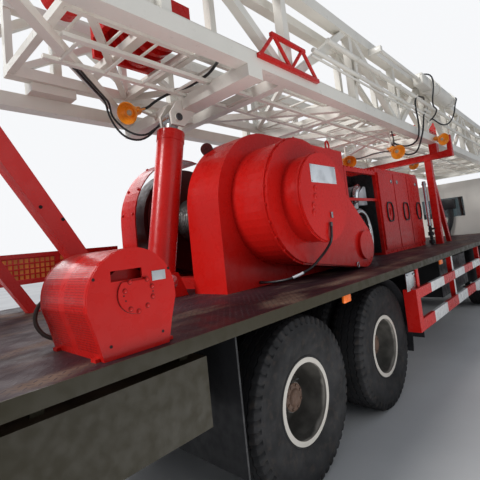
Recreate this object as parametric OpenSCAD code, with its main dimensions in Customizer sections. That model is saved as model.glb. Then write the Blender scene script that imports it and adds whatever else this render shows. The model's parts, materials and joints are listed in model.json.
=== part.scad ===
// Workover rig: an eight-wheel-station carrier with its engine house, drawworks and
// a two-section lattice mast lying over the deck in the transport position.
// X runs forward along the carrier, Y to its left, Z up from the ground.
// Places along the carrier are measured from the third axle, then shifted so that
// the middle of the whole length is the origin.

/* [Wheels and axles] */
// Outer diameter of a tyre
tyre_d = 1120; // [1080:10:1160]
// Width of a tyre
tyre_w = 315; // [290:5:325]
// Diameter over the rim's flange
rim_d = 552; // [530:2:570]
// Place of the fourth axle behind the third
axle_4_x = -1350; // [-1450:10:-1300]
// Place of the second steered axle
axle_2_x = 5000; // [4800:10:5100]
// Place of the first steered axle
axle_1_x = 6700; // [6650:10:6800]
// Half the track of the steered wheels
steer_track = 1070; // [1050:5:1090]
// Centre of an outer twin tyre from the middle
twin_outer = 1090; // [1085:1:1100]
// Centre of an inner twin tyre from the middle
twin_inner = 745; // [735:1:750]

/* [Carrier] */
// Height of the deck above the ground
deck_top = 1265; // [1250:5:1290]
// Half the width of the deck
deck_half = 1400; // [1370:5:1430]
// Rear end of the deck
deck_rear = -3800; // [-3900:10:-3750]
// Front end of the deck, behind the cab
deck_front = 7420; // [7400:5:7440]
// Height of the edge band under the deck
edge_h = 65; // [50:5:80]
// Half the spacing of the frame rails, outside
rail_half = 430; // [410:5:440]

/* [Cab] */
// Back wall of the cab
cab_rear = 7480; // [7470:5:7520]
// Front of the cab
cab_front = 9650; // [9550:10:9750]
// Half the width of the cab
cab_half = 1250; // [1200:10:1280]
// Height of the cab's roof
cab_top = 2640; // [2600:10:2700]
// Underside of the cab
cab_bottom = 760; // [740:10:800]
// Thickness of the cab's walls
cab_wall = 55; // [45:5:65]

/* [Machinery] */
// Rear end of the engine house
house_x0 = 1950; // [1940:5:1960]
// Front end of the engine house
house_x1 = 3810; // [3760:5:3820]
// Half the width of the engine house
house_half = 550; // [520:5:580]
// Height of the engine house roof
house_top = 2560; // [2520:5:2600]
// Place of the drum shaft along the carrier
drum_x = -690; // [-700:5:-680]
// Height of the drum shaft
drum_z = 1975; // [1970:5:1985]
// Radius of the drum barrel
drum_r = 230; // [200:5:260]
// Radius of the drum's brake rims
rim_brake_r = 610; // [590:5:620]

/* [Mast] */
// Place of the mast's hinge along the carrier
hinge_x = -3400; // [-3420:5:-3380]
// Height of the mast's hinge
hinge_z = 3135; // [3130:1:3140]
// Front end of the lower mast section
lower_front = 10500; // [10300:10:10700]
// Half the outer width of the lower section
lower_half = 950; // [944:2:956]
// Underside of the lower section
lower_z0 = 3080; // [3078:1:3082]
// Top of the lower section
lower_z1 = 4150; // [4120:5:4180]
// Rear end of the upper mast section
upper_rear = -2500; // [-2550:10:-2450]
// Front end of the upper section's chords
upper_front = 11800; // [11700:10:11900]
// Half the outer width of the upper section
upper_half = 750; // [744:2:756]
// Underside of the upper section
upper_z0 = 3290; // [3285:1:3295]
// Top of the upper section
upper_z1 = 4000; // [3980:5:4005]
// Front end of the crown
crown_front = 12600; // [12500:10:12700]

/* [Hidden] */
$fn = 48;

RIGHT = -1;
LEFT = 1;
fit_gap = 0.05;
seat = 0.3;
clear = 5;
mid_x = (deck_rear + crown_front) / 2;
axle_z = tyre_d / 2;
rail_z0 = 780;
rail_z1 = 1080;
plate_t = 10;
rib_h = 60;
deck_under = deck_top - plate_t;
kingpin_y = 870;
twin_mid = (twin_outer + twin_inner) / 2;
spindle_r = 50;

// Colours as the photograph shows them
red = [0.62, 0.05, 0.04];
ivory = [0.86, 0.85, 0.80];
maroon = [0.25, 0.12, 0.11];
olive = [0.33, 0.34, 0.22];
black = [0.10, 0.10, 0.11];
rubber = [0.13, 0.13, 0.14];
rim_paint = [0.78, 0.77, 0.72];
steel = [0.70, 0.71, 0.72];
glass = [0.45, 0.55, 0.58];

// Shifts what it holds from the third axle to the middle of the length
module place() translate([-mid_x, 0, 0]) children();

// Box between two corners
module span(a, b) translate(a) cube(b - a);

// Box that is symmetric about the middle plane
module wide(x0, x1, half, z0, z1) span([x0, -half, z0], [x1, half, z1]);

// Both sides of the carrier
module both() {
    children();
    mirror([0, 1, 0]) children();
}

// Child mirrored to the right or the left side
module side(s) scale([1, s, 1]) children();

// Outline in X and Z, pushed out along Y
module profile(points, y0, y1)
    translate([0, y1, 0]) rotate([90, 0, 0]) linear_extrude(y1 - y0) polygon(points);

// Round bar along Y
module bar_y(x, z, y0, y1, r) translate([x, y0, z]) rotate([-90, 0, 0]) cylinder(r = r, h = y1 - y0);

// Square tube, solid, between two points in a plane of constant Y
module strut_xz(a, b, y0, y1, t) {
    d = b - a;
    len = norm(d);
    ang = atan2(d[1], d[0]);
    translate([a[0], y0, a[1]]) rotate([0, -ang, 0]) translate([0, 0, -t / 2]) cube([len, y1 - y0, t]);
}

// Square tube between two points in a plane of constant Z
module strut_xy(a, b, z0, z1, t) {
    d = b - a;
    len = norm(d);
    ang = atan2(d[1], d[0]);
    translate([a[0], a[1], z0]) rotate([0, 0, ang]) translate([0, -t / 2, 0]) cube([len, t, z1 - z0]);
}

// Wheels

// Half section of a tyre round its axis, centred on its width
module tyre_ring() {
    w = tyre_w / 2;
    r = tyre_d / 2;
    b = rim_d / 2 - 12 + seat;
    rotate([-90, 0, 0]) rotate_extrude($fn = 96) polygon([
        [b, -w * 0.74], [b + 40, -w * 0.86], [r - 150, -w], [r - 60, -w * 0.97], [r - 18, -w * 0.84],
        [r, -w * 0.66], [r, w * 0.66],
        [r - 18, w * 0.84], [r - 60, w * 0.97], [r - 150, w], [b + 40, w * 0.86], [b, w * 0.74]]);
}

// Tyre or twin tyres of one wheel station on the left side
module tyre(x, twin) color(rubber) translate([x, 0, axle_z]) {
    if (twin) {
        translate([0, twin_outer, 0]) tyre_ring();
        translate([0, twin_inner, 0]) tyre_ring();
    } else {
        translate([0, steer_track, 0]) tyre_ring();
    }
}

// Rim barrel between two flanges, centred on its width
module rim_barrel() {
    w = tyre_w / 2 * 0.74;
    r = rim_d / 2;
    rotate([-90, 0, 0]) rotate_extrude($fn = 96) polygon([
        [r - 32, -w - 18], [r, -w - 18], [r, -w - 6], [r - 12, -w], [r - 12, w], [r, w + 6], [r, w + 18],
        [r - 32, w + 18], [r - 26, w], [r - 26, -w]]);
}

// Dished disc with its hub; the disc's outer face is at y = 0
module rim_disc(dish, hub_out) {
    r = rim_d / 2 - 20;
    rotate([-90, 0, 0]) difference() {
        rotate_extrude($fn = 96) polygon([
            [0, dish - 22], [120, dish - 22], [150, dish - 12], [r - 40, 0 - 14], [r, -14], [r, 0], [r - 46, 0],
            [155, dish + 2], [105, dish + 2], [98, dish + hub_out], [0, dish + hub_out]]);
        for (i = [0:7]) rotate([0, 0, 45 * i + 22]) translate([190, 0, -200]) cylinder(r = 26, h = 400, $fn = 24);
        translate([0, 0, dish - 30]) cylinder(r = spindle_r + fit_gap, h = 30 + hub_out - 40);
    }
}

// Rim of one wheel station on the left side
module rim(x, twin) color(rim_paint) translate([x, 0, axle_z]) {
    if (twin) {
        translate([0, twin_outer, 0]) rim_barrel();
        translate([0, twin_inner, 0]) rim_barrel();
        // The outer wheel is dished inwards, and its hub reaches back to the axle
        translate([0, twin_mid + 40, 0]) rim_disc(0, 150);
        bar_hub(twin_mid - 60, twin_mid + 30);
        difference() {
            bar_y(0, 0, twin_mid - 57, twin_mid - 43, rim_d / 2 - 20);
            bar_y(0, 0, twin_mid - 58, twin_mid - 42, 120);
        }
    } else {
        translate([0, steer_track, 0]) rim_barrel();
        translate([0, steer_track + 60, 0]) rim_disc(-30, 90);
    }
}

// Inner part of a twin wheel's hub, bored for the spindle
module bar_hub(y0, y1) difference() {
    bar_y(0, 0, y0, y1, 130);
    bar_y(0, 0, y0 - 1, y1 + 1, spindle_r + fit_gap);
}

// Steering knuckle on the left side, with its kingpin and spindle
module knuckle(x) color(black) translate([x, 0, axle_z]) {
    translate([0, kingpin_y, -130]) cylinder(r = 30, h = 260);
    for (z = [-125 - seat, 85 + seat]) translate([0, kingpin_y, z]) {
        cylinder(r = 62, h = 40);
        span([-45, 0, 0], [45, 85, 40]);
    }
    span([-75, kingpin_y + 68, -130], [75, kingpin_y + 95, 130]);
    bar_y(0, 0, kingpin_y + 68, steer_track + 75, spindle_r);
    // Steering arm behind the kingpin
    span([-170, kingpin_y - 30, -130], [-40, kingpin_y + 20, -100]);
}

// Axles and frame

// Bulged housing of a driven axle's final drive
module final_drive(r) rotate([-90, 0, 0]) rotate_extrude() polygon([
    [0, -190], [90, -190], [r * 0.8, -120], [r, -50], [r, 50], [r * 0.8, 120], [90, 190], [0, 190]]);

// One steered axle with its kingpin bosses and springs
module steer_axle(x) translate([x, 0, axle_z]) {
    difference() {
        union() {
            bar_y(0, 0, -(kingpin_y - 30), kingpin_y - 30, 62);
            final_drive(185);
            both() translate([0, kingpin_y, -85]) cylinder(r = 60, h = 170);
        }
        both() translate([0, kingpin_y, -90]) cylinder(r = 30 + fit_gap, h = 180);
    }
    both() {
        leaf_spring(385, 640);
        span([-70, 345, -80], [70, 425, 90]);
    }
}

leaf_t = 14;

// Leaf spring under a frame rail, with its end brackets
module leaf_spring(y, half) {
    for (i = [0:3]) span([-half + i * 130, y - 38, 130 - i * leaf_t], [half - i * 130, y + 38, 130 + leaf_t - i * leaf_t]);
    for (s = [-1, 1]) span([s * half - 30, y - 38, 130], [s * half + 30, y + 38, rail_z0 - axle_z]);
}

module steer_axles() color(black) {
    steer_axle(axle_1_x);
    steer_axle(axle_2_x);
}

// Tandem of driven axles with stub spindles, on one long spring each side
module tandem_axles() color(black) {
    for (x = [0, axle_4_x]) translate([x, 0, axle_z]) {
        bar_y(0, 0, -560, 560, 85);
        final_drive(215);
        both() bar_y(0, 0, 550, twin_outer - 60, spindle_r);
    }
    both() translate([axle_4_x / 2, 0, axle_z]) {
        for (i = [0:5]) span([-760 + i * 95, 440, 100 + i * leaf_t], [760 - i * 95, 520, 100 + leaf_t + i * leaf_t]);
        for (s = [-1, 1]) span([s * axle_4_x / 2 - 70, 440, -60], [s * axle_4_x / 2 + 70, 520, 101]);
        span([-90, rail_half, 180], [90, 520, rail_z0 - axle_z + 180]);
    }
}

// C-section frame rail on the left
module rail(x0, x1) difference() {
    span([x0, rail_half - 90, rail_z0], [x1, rail_half, rail_z1]);
    span([x0 - 1, rail_half - 91, rail_z0 + 14], [x1 + 1, rail_half - 14, rail_z1 - 14]);
}

cross_xs = [-3600, -2300, -675, 1200, 2900, 4300, 5850, 7100];
low_rail_z = 740;
flap_xs = [720, -2090];
jack_places = [[-3430, 1180], [4080, 1180]];
jack_r = 95;
jack_leg_r = 68;

// Fixed tube of a levelling jack, bored for its leg
module jack_tube(p) {
    translate([p[0], p[1], 560]) difference() {
        cylinder(r = jack_r, h = deck_under - 560);
        translate([0, 0, 60]) cylinder(r = jack_r - 22, h = deck_under - 660);
        translate([0, 0, -1]) cylinder(r = jack_leg_r + seat, h = 62);
    }
    span([p[0] - 60, rail_half - 14, 900], [p[0] + 60, p[1] - jack_r + 20, 1050]);
}

tow_z = 860;
tow_r = 25;

// Rear beam of the frame, bored for a tow pin
module pintle_plate() difference() {
    union() {
        wide(deck_rear + 10, deck_rear + 60, 620, 720, rail_z1);
        translate([deck_rear, 0, tow_z]) rotate([0, 90, 0]) cylinder(r = 90, h = 60);
    }
    translate([deck_rear - 1, 0, tow_z]) rotate([0, 90, 0]) cylinder(r = tow_r, h = 62);
}

module chassis_frame() color(black) {
    both() {
        rail(deck_rear + 60, cab_rear - 30);
        // Lowered front rails under the cab
        span([cab_rear - 90, rail_half - 90, low_rail_z - 140], [cab_rear - 30, rail_half, rail_z1]);
        span([cab_rear - 90, rail_half - 90, low_rail_z - 140], [cab_front - 200, rail_half, low_rail_z]);
        for (x = [cab_rear + 60, cab_front - 500])
            span([x, rail_half - 90, low_rail_z - 1], [x + 120, rail_half, cab_bottom]);
        // Subframe rails that carry the deck
        span([deck_rear + 30, rail_half - 100, rail_z1], [deck_front, rail_half, deck_under - rib_h]);
        for (p = jack_places) jack_tube(p);
    }
    for (x = cross_xs) wide(x - 50, x + 50, rail_half - 13, rail_z0 + 60, rail_z1 - 40);
    // Rubber flaps that hang ahead of and behind the driven wheels
    both() for (x = flap_xs) {
        span([x, 600, 460], [x + 12, deck_half - 60, deck_under - rib_h]);
        span([x, rail_half - 1, rail_z1 - 70], [x + 12, 601, rail_z1 - 30]);
    }
    // Rear beam with the tow pin's bore, and front bumper
    pintle_plate();
    wide(cab_front - 260, cab_front - 40, cab_half - 70, 520, low_rail_z);
}

// Jack leg with its foot pad, drawn up
module jack_leg(p, s) color(steel) translate([p[0], s * p[1], 0]) {
    translate([0, 0, 470]) cylinder(r = jack_leg_r, h = 690);
    translate([0, 0, 430]) cylinder(r = 190, h = 40);
}

// Deck and side parts

rib_t = 50;
rib_pitch = 680;
ribs = 16;

// Rear face of a cross rib under the deck
function rib_x(i) = deck_rear + 100 + i * rib_pitch;

module deck() color(maroon) {
    wide(deck_rear, deck_front, deck_half - 6, deck_under, deck_top);
    for (i = [0:ribs]) wide(rib_x(i), rib_x(i) + rib_t, deck_half - 30, deck_under - rib_h, deck_under);
}

locker_top = 1110;

// Locker under the deck on the left, hung on straps from two of the deck's ribs
module locker(x0, x1, y1, z0, ribs) {
    span([x0, 800, z0], [x1, y1, locker_top]);
    for (i = ribs) span([rib_x(i), 860, locker_top - 1], [rib_x(i) + rib_t, y1 - 60, deck_under - rib_h]);
}

module deck_edge() color(olive) {
    both() span([deck_rear, deck_half - 6, deck_top - edge_h], [deck_front, deck_half, deck_top]);
    wide(deck_rear, deck_rear + 6, deck_half - 6, deck_top - edge_h, deck_under);
    both() {
        locker(deck_rear + 620, -2215, deck_half - 150, 760, [1, 2]);
        locker(2150, 3650, deck_half - 220, 620, [9, 10]);
    }
}

guard_z = [572, 900];
guard_h = [118, 102];
guard_x = [480, 3780];

// Guard rails ahead of the third axle, with a box post at their rear end
module side_guards() color(red) both() {
    for (i = [0, 1])
        span([guard_x[0] + 1, deck_half - 35, guard_z[i]], [guard_x[1], deck_half, guard_z[i] + guard_h[i]]);
    span([guard_x[0], deck_half - 130, guard_z[0]], [guard_x[0] + 110, deck_half, guard_z[1] + guard_h[1]]);
    for (x = [guard_x[0] + 20, 2060, guard_x[1] - 60])
        span([x, deck_half - 95, guard_z[0]], [x + 60, deck_half - 34, deck_under - rib_h]);
}

// Cab

cab_side = [[cab_rear, cab_bottom], [cab_front - 320, cab_bottom], [cab_front - 60, cab_bottom + 180],
    [cab_front, 1500], [cab_front - 150, cab_top - 60], [cab_front - 210, cab_top], [cab_rear, cab_top]];
cab_hollow = [[cab_rear + cab_wall, cab_bottom + 90], [cab_front - 330, cab_bottom + 90],
    [cab_front - 120, cab_bottom + 230], [cab_front - cab_wall, 1500],
    [cab_front - 150 - cab_wall, cab_top - 90], [cab_front - 230, cab_top - cab_wall],
    [cab_rear + cab_wall, cab_top - cab_wall]];
door_x = [8060, 8980];
door_z = [900, 2440];
door_t = 45;

screen_y = [40, 1150];
screen_z = [1640, 2400];
hinge_pin_r = 8;
door_axis_y = cab_half + 14;
door_axis_x = door_x[1] - 3;
door_hinge_z = [1150, 2150];

// Place of the cab's sloping front at a height above its crease
function front_x(z) = cab_front - (z - 1500) * 150 / (cab_top - 60 - 1500);

// Cut through the sloping front between two heights, reaching in by a depth
module screen_cut(depth, out, gap) profile([
    [front_x(screen_z[0]) - depth, screen_z[0] + gap], [front_x(screen_z[0]) + out, screen_z[0] + gap],
    [front_x(screen_z[1]) + out, screen_z[1] - gap], [front_x(screen_z[1]) - depth, screen_z[1] - gap]],
    screen_y[0] + gap, screen_y[1] - gap);

module cab_shell() color(ivory) {
    difference() {
        profile(cab_side, -cab_half, cab_half);
        profile(cab_hollow, -cab_half + cab_wall, cab_half - cab_wall);
        both() screen_cut(cab_wall * 3, 40, 0);
        wide(cab_rear - 1, cab_rear + cab_wall + 1, rear_pane[0], rear_pane[1], rear_pane[2]);
        both() span([door_x[0], cab_half - cab_wall - 1, door_z[0]], [door_x[1], cab_half + 1, door_z[1]]);
    }
    // Fixed halves of the door hinges
    both() for (z = door_hinge_z) {
        translate([door_axis_x, door_axis_y, z - 40]) cylinder(r = hinge_pin_r, h = 140);
        for (dz = [-40, 60 + seat]) translate([door_axis_x, door_axis_y, z + dz]) {
            cylinder(r = 14, h = 40 - seat);
            span([2, -14, 0], [60, 6, 40 - seat]);
        }
    }
}

rear_pane = [500, 1750, 2250];

// Door leaf on the left side, hinged at its front edge
module cab_door() color(ivory) {
    difference() {
        span([door_x[0] + 6, cab_half - door_t, door_z[0] + 6], [door_x[1] - 6, cab_half, door_z[1] - 6]);
        span([door_x[0] + 90, cab_half - door_t - 1, 1640], [door_x[1] - 90, cab_half + 1, door_z[1] - 90]);
    }
    span([door_x[0] + 60, cab_half - 1, 1430], [door_x[0] + 200, cab_half + 25, 1465]);
    for (z = door_hinge_z) translate([door_axis_x, door_axis_y, z + seat]) difference() {
        union() {
            cylinder(r = 14, h = 60 - seat);
            span([-70, -15, 0], [-3, 6, 60 - seat]);
        }
        translate([0, 0, -1]) cylinder(r = hinge_pin_r + fit_gap, h = 80);
    }
}

pane_t = 6;

module cab_glass() color(glass) {
    both() profile([
        [front_x(screen_z[0]) - 40, screen_z[0] + seat], [front_x(screen_z[0]) - 40 + pane_t, screen_z[0] + seat],
        [front_x(screen_z[1]) - 40 + pane_t, screen_z[1] - seat], [front_x(screen_z[1]) - 40, screen_z[1] - seat]],
        screen_y[0] + seat, screen_y[1] - seat);
    wide(cab_rear + 20, cab_rear + 20 + pane_t, rear_pane[0] - seat, rear_pane[1] + seat, rear_pane[2] - seat);
}

module cab_interior() color(black) {
    for (s = [-1, 1]) translate([8150, s * 700, cab_bottom + 90]) {
        span([0, -230, 200], [480, 230, 380]);
        span([-90, -230, 380], [60, 230, 1050]);
        span([80, -150, 0], [400, 150, 200]);
    }
    span([cab_front - 500, -cab_half + cab_wall, 1180], [cab_front - 150, cab_half - cab_wall, 1520]);
}

// Engine house

leaf_pitch = (house_x1 - house_x0 - 40) / 3;
leaf_gap = 34;
leaf_thick = 24;
leaf_face = house_half + seat;
latch_axis = [14, 12];
leaf_hinge_z = [1480, 2260];
small_pin_r = 7;

// Rear and front edge of a door leaf, counted from the rear
function leaf_x(i) = [house_x0 + 20 + i * leaf_pitch + leaf_gap / 2, house_x0 + 20 + (i + 1) * leaf_pitch - leaf_gap / 2];

module engine_house() color(red) {
    difference() {
        wide(house_x0, house_x1, house_half, deck_top, house_top);
        wide(house_x0 + 25, house_x1 - 25, house_half - 25, deck_top + 40, house_top - 25);
        for (i = [0:2])
            span([leaf_x(i)[0] + 20, -house_half - 1, deck_top + 90], [leaf_x(i)[1] - 20, -house_half + 26, house_top - 90]);
    }
    // Fixed halves of the door hinges
    for (i = [0:2], z = leaf_hinge_z) translate([leaf_x(i)[1] + latch_axis[0], -house_half - latch_axis[1], z]) {
        translate([0, 0, -20]) cylinder(r = small_pin_r, h = 100);
        for (dz = [-20, 60 + seat]) translate([0, 0, dz]) {
            cylinder(r = 10, h = 20 - seat);
            span([-6, 0, 0], [6, latch_axis[1] + 1, 20 - seat]);
        }
    }
    // Open bay behind the house with its slatted roof
    both() {
        span([bay_x0, house_half - 50, deck_top], [bay_x0 + 50, house_half, house_top - 60]);
        span([bay_x0, house_half - 50, house_top - 110], [house_x0 + 1, house_half, house_top - 60]);
    }
    for (i = [0:8])
        wide(bay_x0 + 20 + i * 105, bay_x0 + 80 + i * 105, house_half, house_top - 61, house_top - 40);
}

bay_x0 = house_x0 - 980;

// Door of the engine house, counted from the rear, with its long handle recess
module house_door(i) color(red) {
    x = leaf_x(i);
    difference() {
        span([x[0], -leaf_face - leaf_thick, deck_top + 66], [x[1], -leaf_face, house_top - 66]);
        translate([(x[0] + x[1]) / 2, -leaf_face - leaf_thick + 14, 1890]) rotate([90, 0, 0])
            linear_extrude(30) polygon([[-16, -60], [16, -60], [28, -40], [28, 40], [16, 60], [-16, 60], [-28, 40], [-28, -40]]);
    }
    for (z = leaf_hinge_z) translate([x[1] + latch_axis[0], -house_half - latch_axis[1], z + seat]) difference() {
        union() {
            cylinder(r = 10, h = 60 - seat);
            span([-latch_axis[0] - 6, -6, 0], [0, 6, 60 - seat]);
        }
        translate([0, 0, -1]) cylinder(r = small_pin_r + fit_gap, h = 80);
    }
}

module powertrain() color(steel) {
    // Engine, a plain block on its rails
    wide(house_x0 + 150, house_x1 - 250, 330, deck_top + 120, 2200);
    both() span([house_x0 + 100, 250, deck_top + 40], [house_x1 - 200, 350, deck_top + 121]);
    // Transmission in the open bay, and its shaft to the drawworks
    translate([house_x0 - 800, 0, 1700]) rotate([0, 90, 0]) cylinder(r = 330, h = 640);
    wide(house_x0 - 760, house_x0 - 240, 240, deck_top, 1450);
    translate([520, 0, 1700]) rotate([0, 90, 0]) cylinder(r = 60, h = house_x0 - 799 - 520);
    translate([house_x0 - 161, 0, 1700]) rotate([0, 90, 0]) cylinder(r = 60, h = 161);
}

// Drawworks

guard_r = 730;
guard_t = 12;
case_y = [-600, -200];
case_r = 700;
case_x1 = 860;
cover_r = 550;
cover_y = -990;
cap_r = 375;
cap_y = -1180;
lobe = [330, 1500, 230];

// Points of an arc in X and Z about a centre, between two angles
function arc(c, r, a0, a1, n) = [for (i = [0:n]) let(a = a0 + (a1 - a0) * i / n) c + r * [cos(a), sin(a)]];

// Curved guard over the far brake rim: upper and rear side, open downwards
module rim_guard(y0, y1) profile(concat(
    arc([drum_x, drum_z], guard_r, 75, 180, 16), [[drum_x - guard_r, deck_top], [drum_x - guard_r + guard_t, deck_top]],
    arc([drum_x, drum_z], guard_r - guard_t, 180, 75, 16)), y0, y1);

module drawworks_frame() color(red) {
    rim_guard(620, 900);
    // Bearing stands and base beams
    difference() {
        profile([[drum_x - 420, deck_top], [drum_x + 620, deck_top], [drum_x + 200, drum_z + 180],
            [drum_x - 200, drum_z + 180]], 930, 990);
        bar_y(drum_x, drum_z, 929, 991, 70 + fit_gap);
    }
    for (x = [drum_x - 460, drum_x + 380]) span([x, case_y[1] + seat, deck_top], [x + 140, 990, deck_top + 110]);
    span([drum_x - guard_r + 1, 620, deck_top], [drum_x - 400, 900, deck_top + 110]);
    // Angle gear box in front of the drum
    span([250, case_y[1] + seat, deck_top], [520, 450, 2050]);
}

// Chain case on the near side: a tall casing over the brake rim, with stepped round covers
module chain_case() color(red) {
    centre = [drum_x, drum_z];
    difference() {
        union() {
            profile(concat([[drum_x - case_r, deck_top]], arc(centre, case_r, 180, 90, 16),
                [[case_x1, drum_z + case_r], [case_x1, deck_top]]), case_y[0], case_y[1]);
            // Lower lobe that runs forward to the input shaft
            profile(concat(arc(centre, cover_r, 49, 261, 32), arc([lobe[0], lobe[1]], lobe[2], -99, 49, 16)),
                cover_y, case_y[0] + 1);
            // Flange where the cover halves meet
            profile(concat(arc(centre, cover_r + 14, 49, 261, 32), arc([lobe[0], lobe[1]], lobe[2] + 4, -99, 49, 16)),
                cover_y + 28, cover_y + 44);
            bar_y(drum_x, drum_z, cap_y + 20, cap_y + 34, cap_r + 12);
            bar_y(drum_x, drum_z, cap_y, cover_y + 1, cap_r);
            bar_y(lobe[0], lobe[1], cover_y - 30, cover_y + 1, 150);
        }
        // Room for the brake rim, and the shaft's bore
        bar_y(drum_x, drum_z, case_y[0] + 30, case_y[1] + 1, case_r - 40);
        bar_y(drum_x, drum_z, case_y[0] - 160, case_y[1], 70 + fit_gap);
    }
}

module drum() color(steel) {
    bar_y(drum_x, drum_z, case_y[0] - 155, 985, 70);
    bar_y(drum_x, drum_z, -180, 600, drum_r);
    for (y = [-540, 640]) {
        difference() {
            bar_y(drum_x, drum_z, y, y + 240, rim_brake_r);
            bar_y(drum_x, drum_z, y + 30, y + 241, rim_brake_r - 40);
        }
    }
    bar_y(drum_x, drum_z, -301, -179, 300);
    for (y = [-180, 580]) bar_y(drum_x, drum_z, y, y + 31, rim_brake_r - 30);
    bar_y(drum_x, drum_z, 580, 641, 300);
}

brake_x = -2651;
brake_z = 1489;
brake_r = 204;
brake_y = [-1350, -870];
brake_wall = 10;
brake_foot = 150;

// Outline of the auxiliary brake's housing: an arch that narrows to its foot
function brake_outline(inset) = let(r = brake_r - inset, f = brake_foot - inset) concat(
    [[brake_x + f, deck_top], [brake_x + r * 0.86, brake_z - 120], [brake_x + r, brake_z - 30]],
    arc([brake_x, brake_z], r, 0, 180, 24),
    [[brake_x - r, brake_z - 30], [brake_x - r * 0.86, brake_z - 120], [brake_x - f, deck_top]]);

// Arched housing near the rear corner, with its slotted near plate
module brake_housing() color(red) {
    difference() {
        profile(brake_outline(0), brake_y[0], brake_y[1]);
        profile(brake_outline(brake_wall), brake_y[0] + brake_wall, brake_y[1] - brake_wall);
        // Slot over the round recess in the near plate
        span([brake_x - 101, brake_y[0] - 1, brake_z + 73], [brake_x + 41, brake_y[0] + brake_wall + 1, brake_z + 116]);
        bar_y(brake_x, brake_z + 12, brake_y[0] - 1, brake_y[0] + 6, 79);
    }
    // Hub inside, and feet
    bar_y(brake_x, brake_z + 12, brake_y[0] + 60, brake_y[1] - 5, 110);
    for (y = [brake_y[0] + 30, brake_y[1] - 70])
        span([brake_x - brake_foot - 22, y, deck_top], [brake_x + brake_foot + 42, y + 40, deck_top + 14]);
}

// Mast supports

chord = 130;
pin_r = 45;
leg_y = 715;
leg_w = 105;
brace_w = 92;
leg_base_x = -2420;
mast_ears = [lower_half - chord - 25, lower_half - 5];
fence_x = [-3300, -1250];
fence_y = 1320;
fence_z = [1480, 1740];
fence_t = 40;
cyl_foot = [-1600, 1400];
cyl_eye = [-1310, 2890];
cyl_r = 125;
stage_r = [105, 85];
rod_r = 62;

// Rear support: an A-frame each side that carries the mast's hinge pin
module rear_support() color(red) {
    both() {
        // Brace and post of the A-frame in one outline
        profile([[leg_base_x, deck_top], [leg_base_x + brace_w, deck_top], [hinge_x + 110, hinge_z - 270],
            [hinge_x + 110, hinge_z - 200], [hinge_x - 110, hinge_z - 200], [hinge_x - 110, hinge_z - 330],
            [hinge_x - leg_w / 2, hinge_z - 400], [hinge_x - leg_w / 2, deck_top], [hinge_x + leg_w / 2, deck_top],
            [hinge_x + leg_w / 2, hinge_z - 370]], leg_y, leg_y + leg_w);
        span([hinge_x - 110, leg_y + 1, hinge_z - 330], [hinge_x + 110, mast_ears[1] + 30, hinge_z - 201]);
        // Clevis ears and the pin between them
        for (y = mast_ears) profile([[hinge_x - 109, hinge_z - 210], [hinge_x + 109, hinge_z - 210],
            [hinge_x + 80, hinge_z + 60], [hinge_x - 80, hinge_z + 60]], y, y + 30);
        bar_y(hinge_x, hinge_z, mast_ears[0] + 5, mast_ears[1] + 25, pin_r);
    }
    wide(hinge_x - 50, hinge_x + 50, leg_y + 10, 1700, 1800);
    // Far side railing that frames the mesh guard
    for (z = fence_z) span([fence_x[0], fence_y, z], [fence_x[1], fence_y + fence_t, z + fence_t]);
    for (i = [0:3]) let(x = fence_x[0] + i * (fence_x[1] - fence_x[0] - fence_t) / 3)
        span([x, fence_y, deck_top], [x + fence_t, fence_y + fence_t, fence_z[1] + 1]);
    span([fence_x[0] + 1, fence_y + 18, fence_z[0] + fence_t - 1], [fence_x[1] - 1, fence_y + 22, fence_z[1] + 1]);
    wide(hinge_x - 50, hinge_x + 50, leg_y + 10, deck_top + 1, deck_top + 100);
    // Foot lugs of the erecting cylinder
    both() profile([[cyl_foot[0] - 170, deck_top], [cyl_foot[0] + 170, deck_top],
        [cyl_foot[0] + 80, cyl_foot[1] + 70], [cyl_foot[0] - 80, cyl_foot[1] + 70]], cyl_r + clear, cyl_r + 35);
    bar_y(cyl_foot[0], cyl_foot[1], -cyl_r - 45, cyl_r + 45, 40);
}

gantry_x = 3950;

// Front mast rest across the deck
module gantry() color(red) {
    wide(gantry_x - 60, gantry_x + 60, 1180, 2800, 2910);
    both() {
        span([gantry_x - 55, 705, deck_top], [gantry_x + 55, 815, 2800]);
        difference() {
            strut_xz([gantry_x + 620, deck_top - 20], [gantry_x + 40, 2600], 725, 795, 80);
            span([gantry_x + 500, 700, deck_top - 200], [gantry_x + 800, 800, deck_top]);
        }
        span([gantry_x - 75, lower_half - chord, 2909], [gantry_x + 75, lower_half, lower_z0 - seat]);
    }
}

// Mast

bay = 1400;
bays = 10;
lower_back_z1 = lower_z0 + chord;

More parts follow.
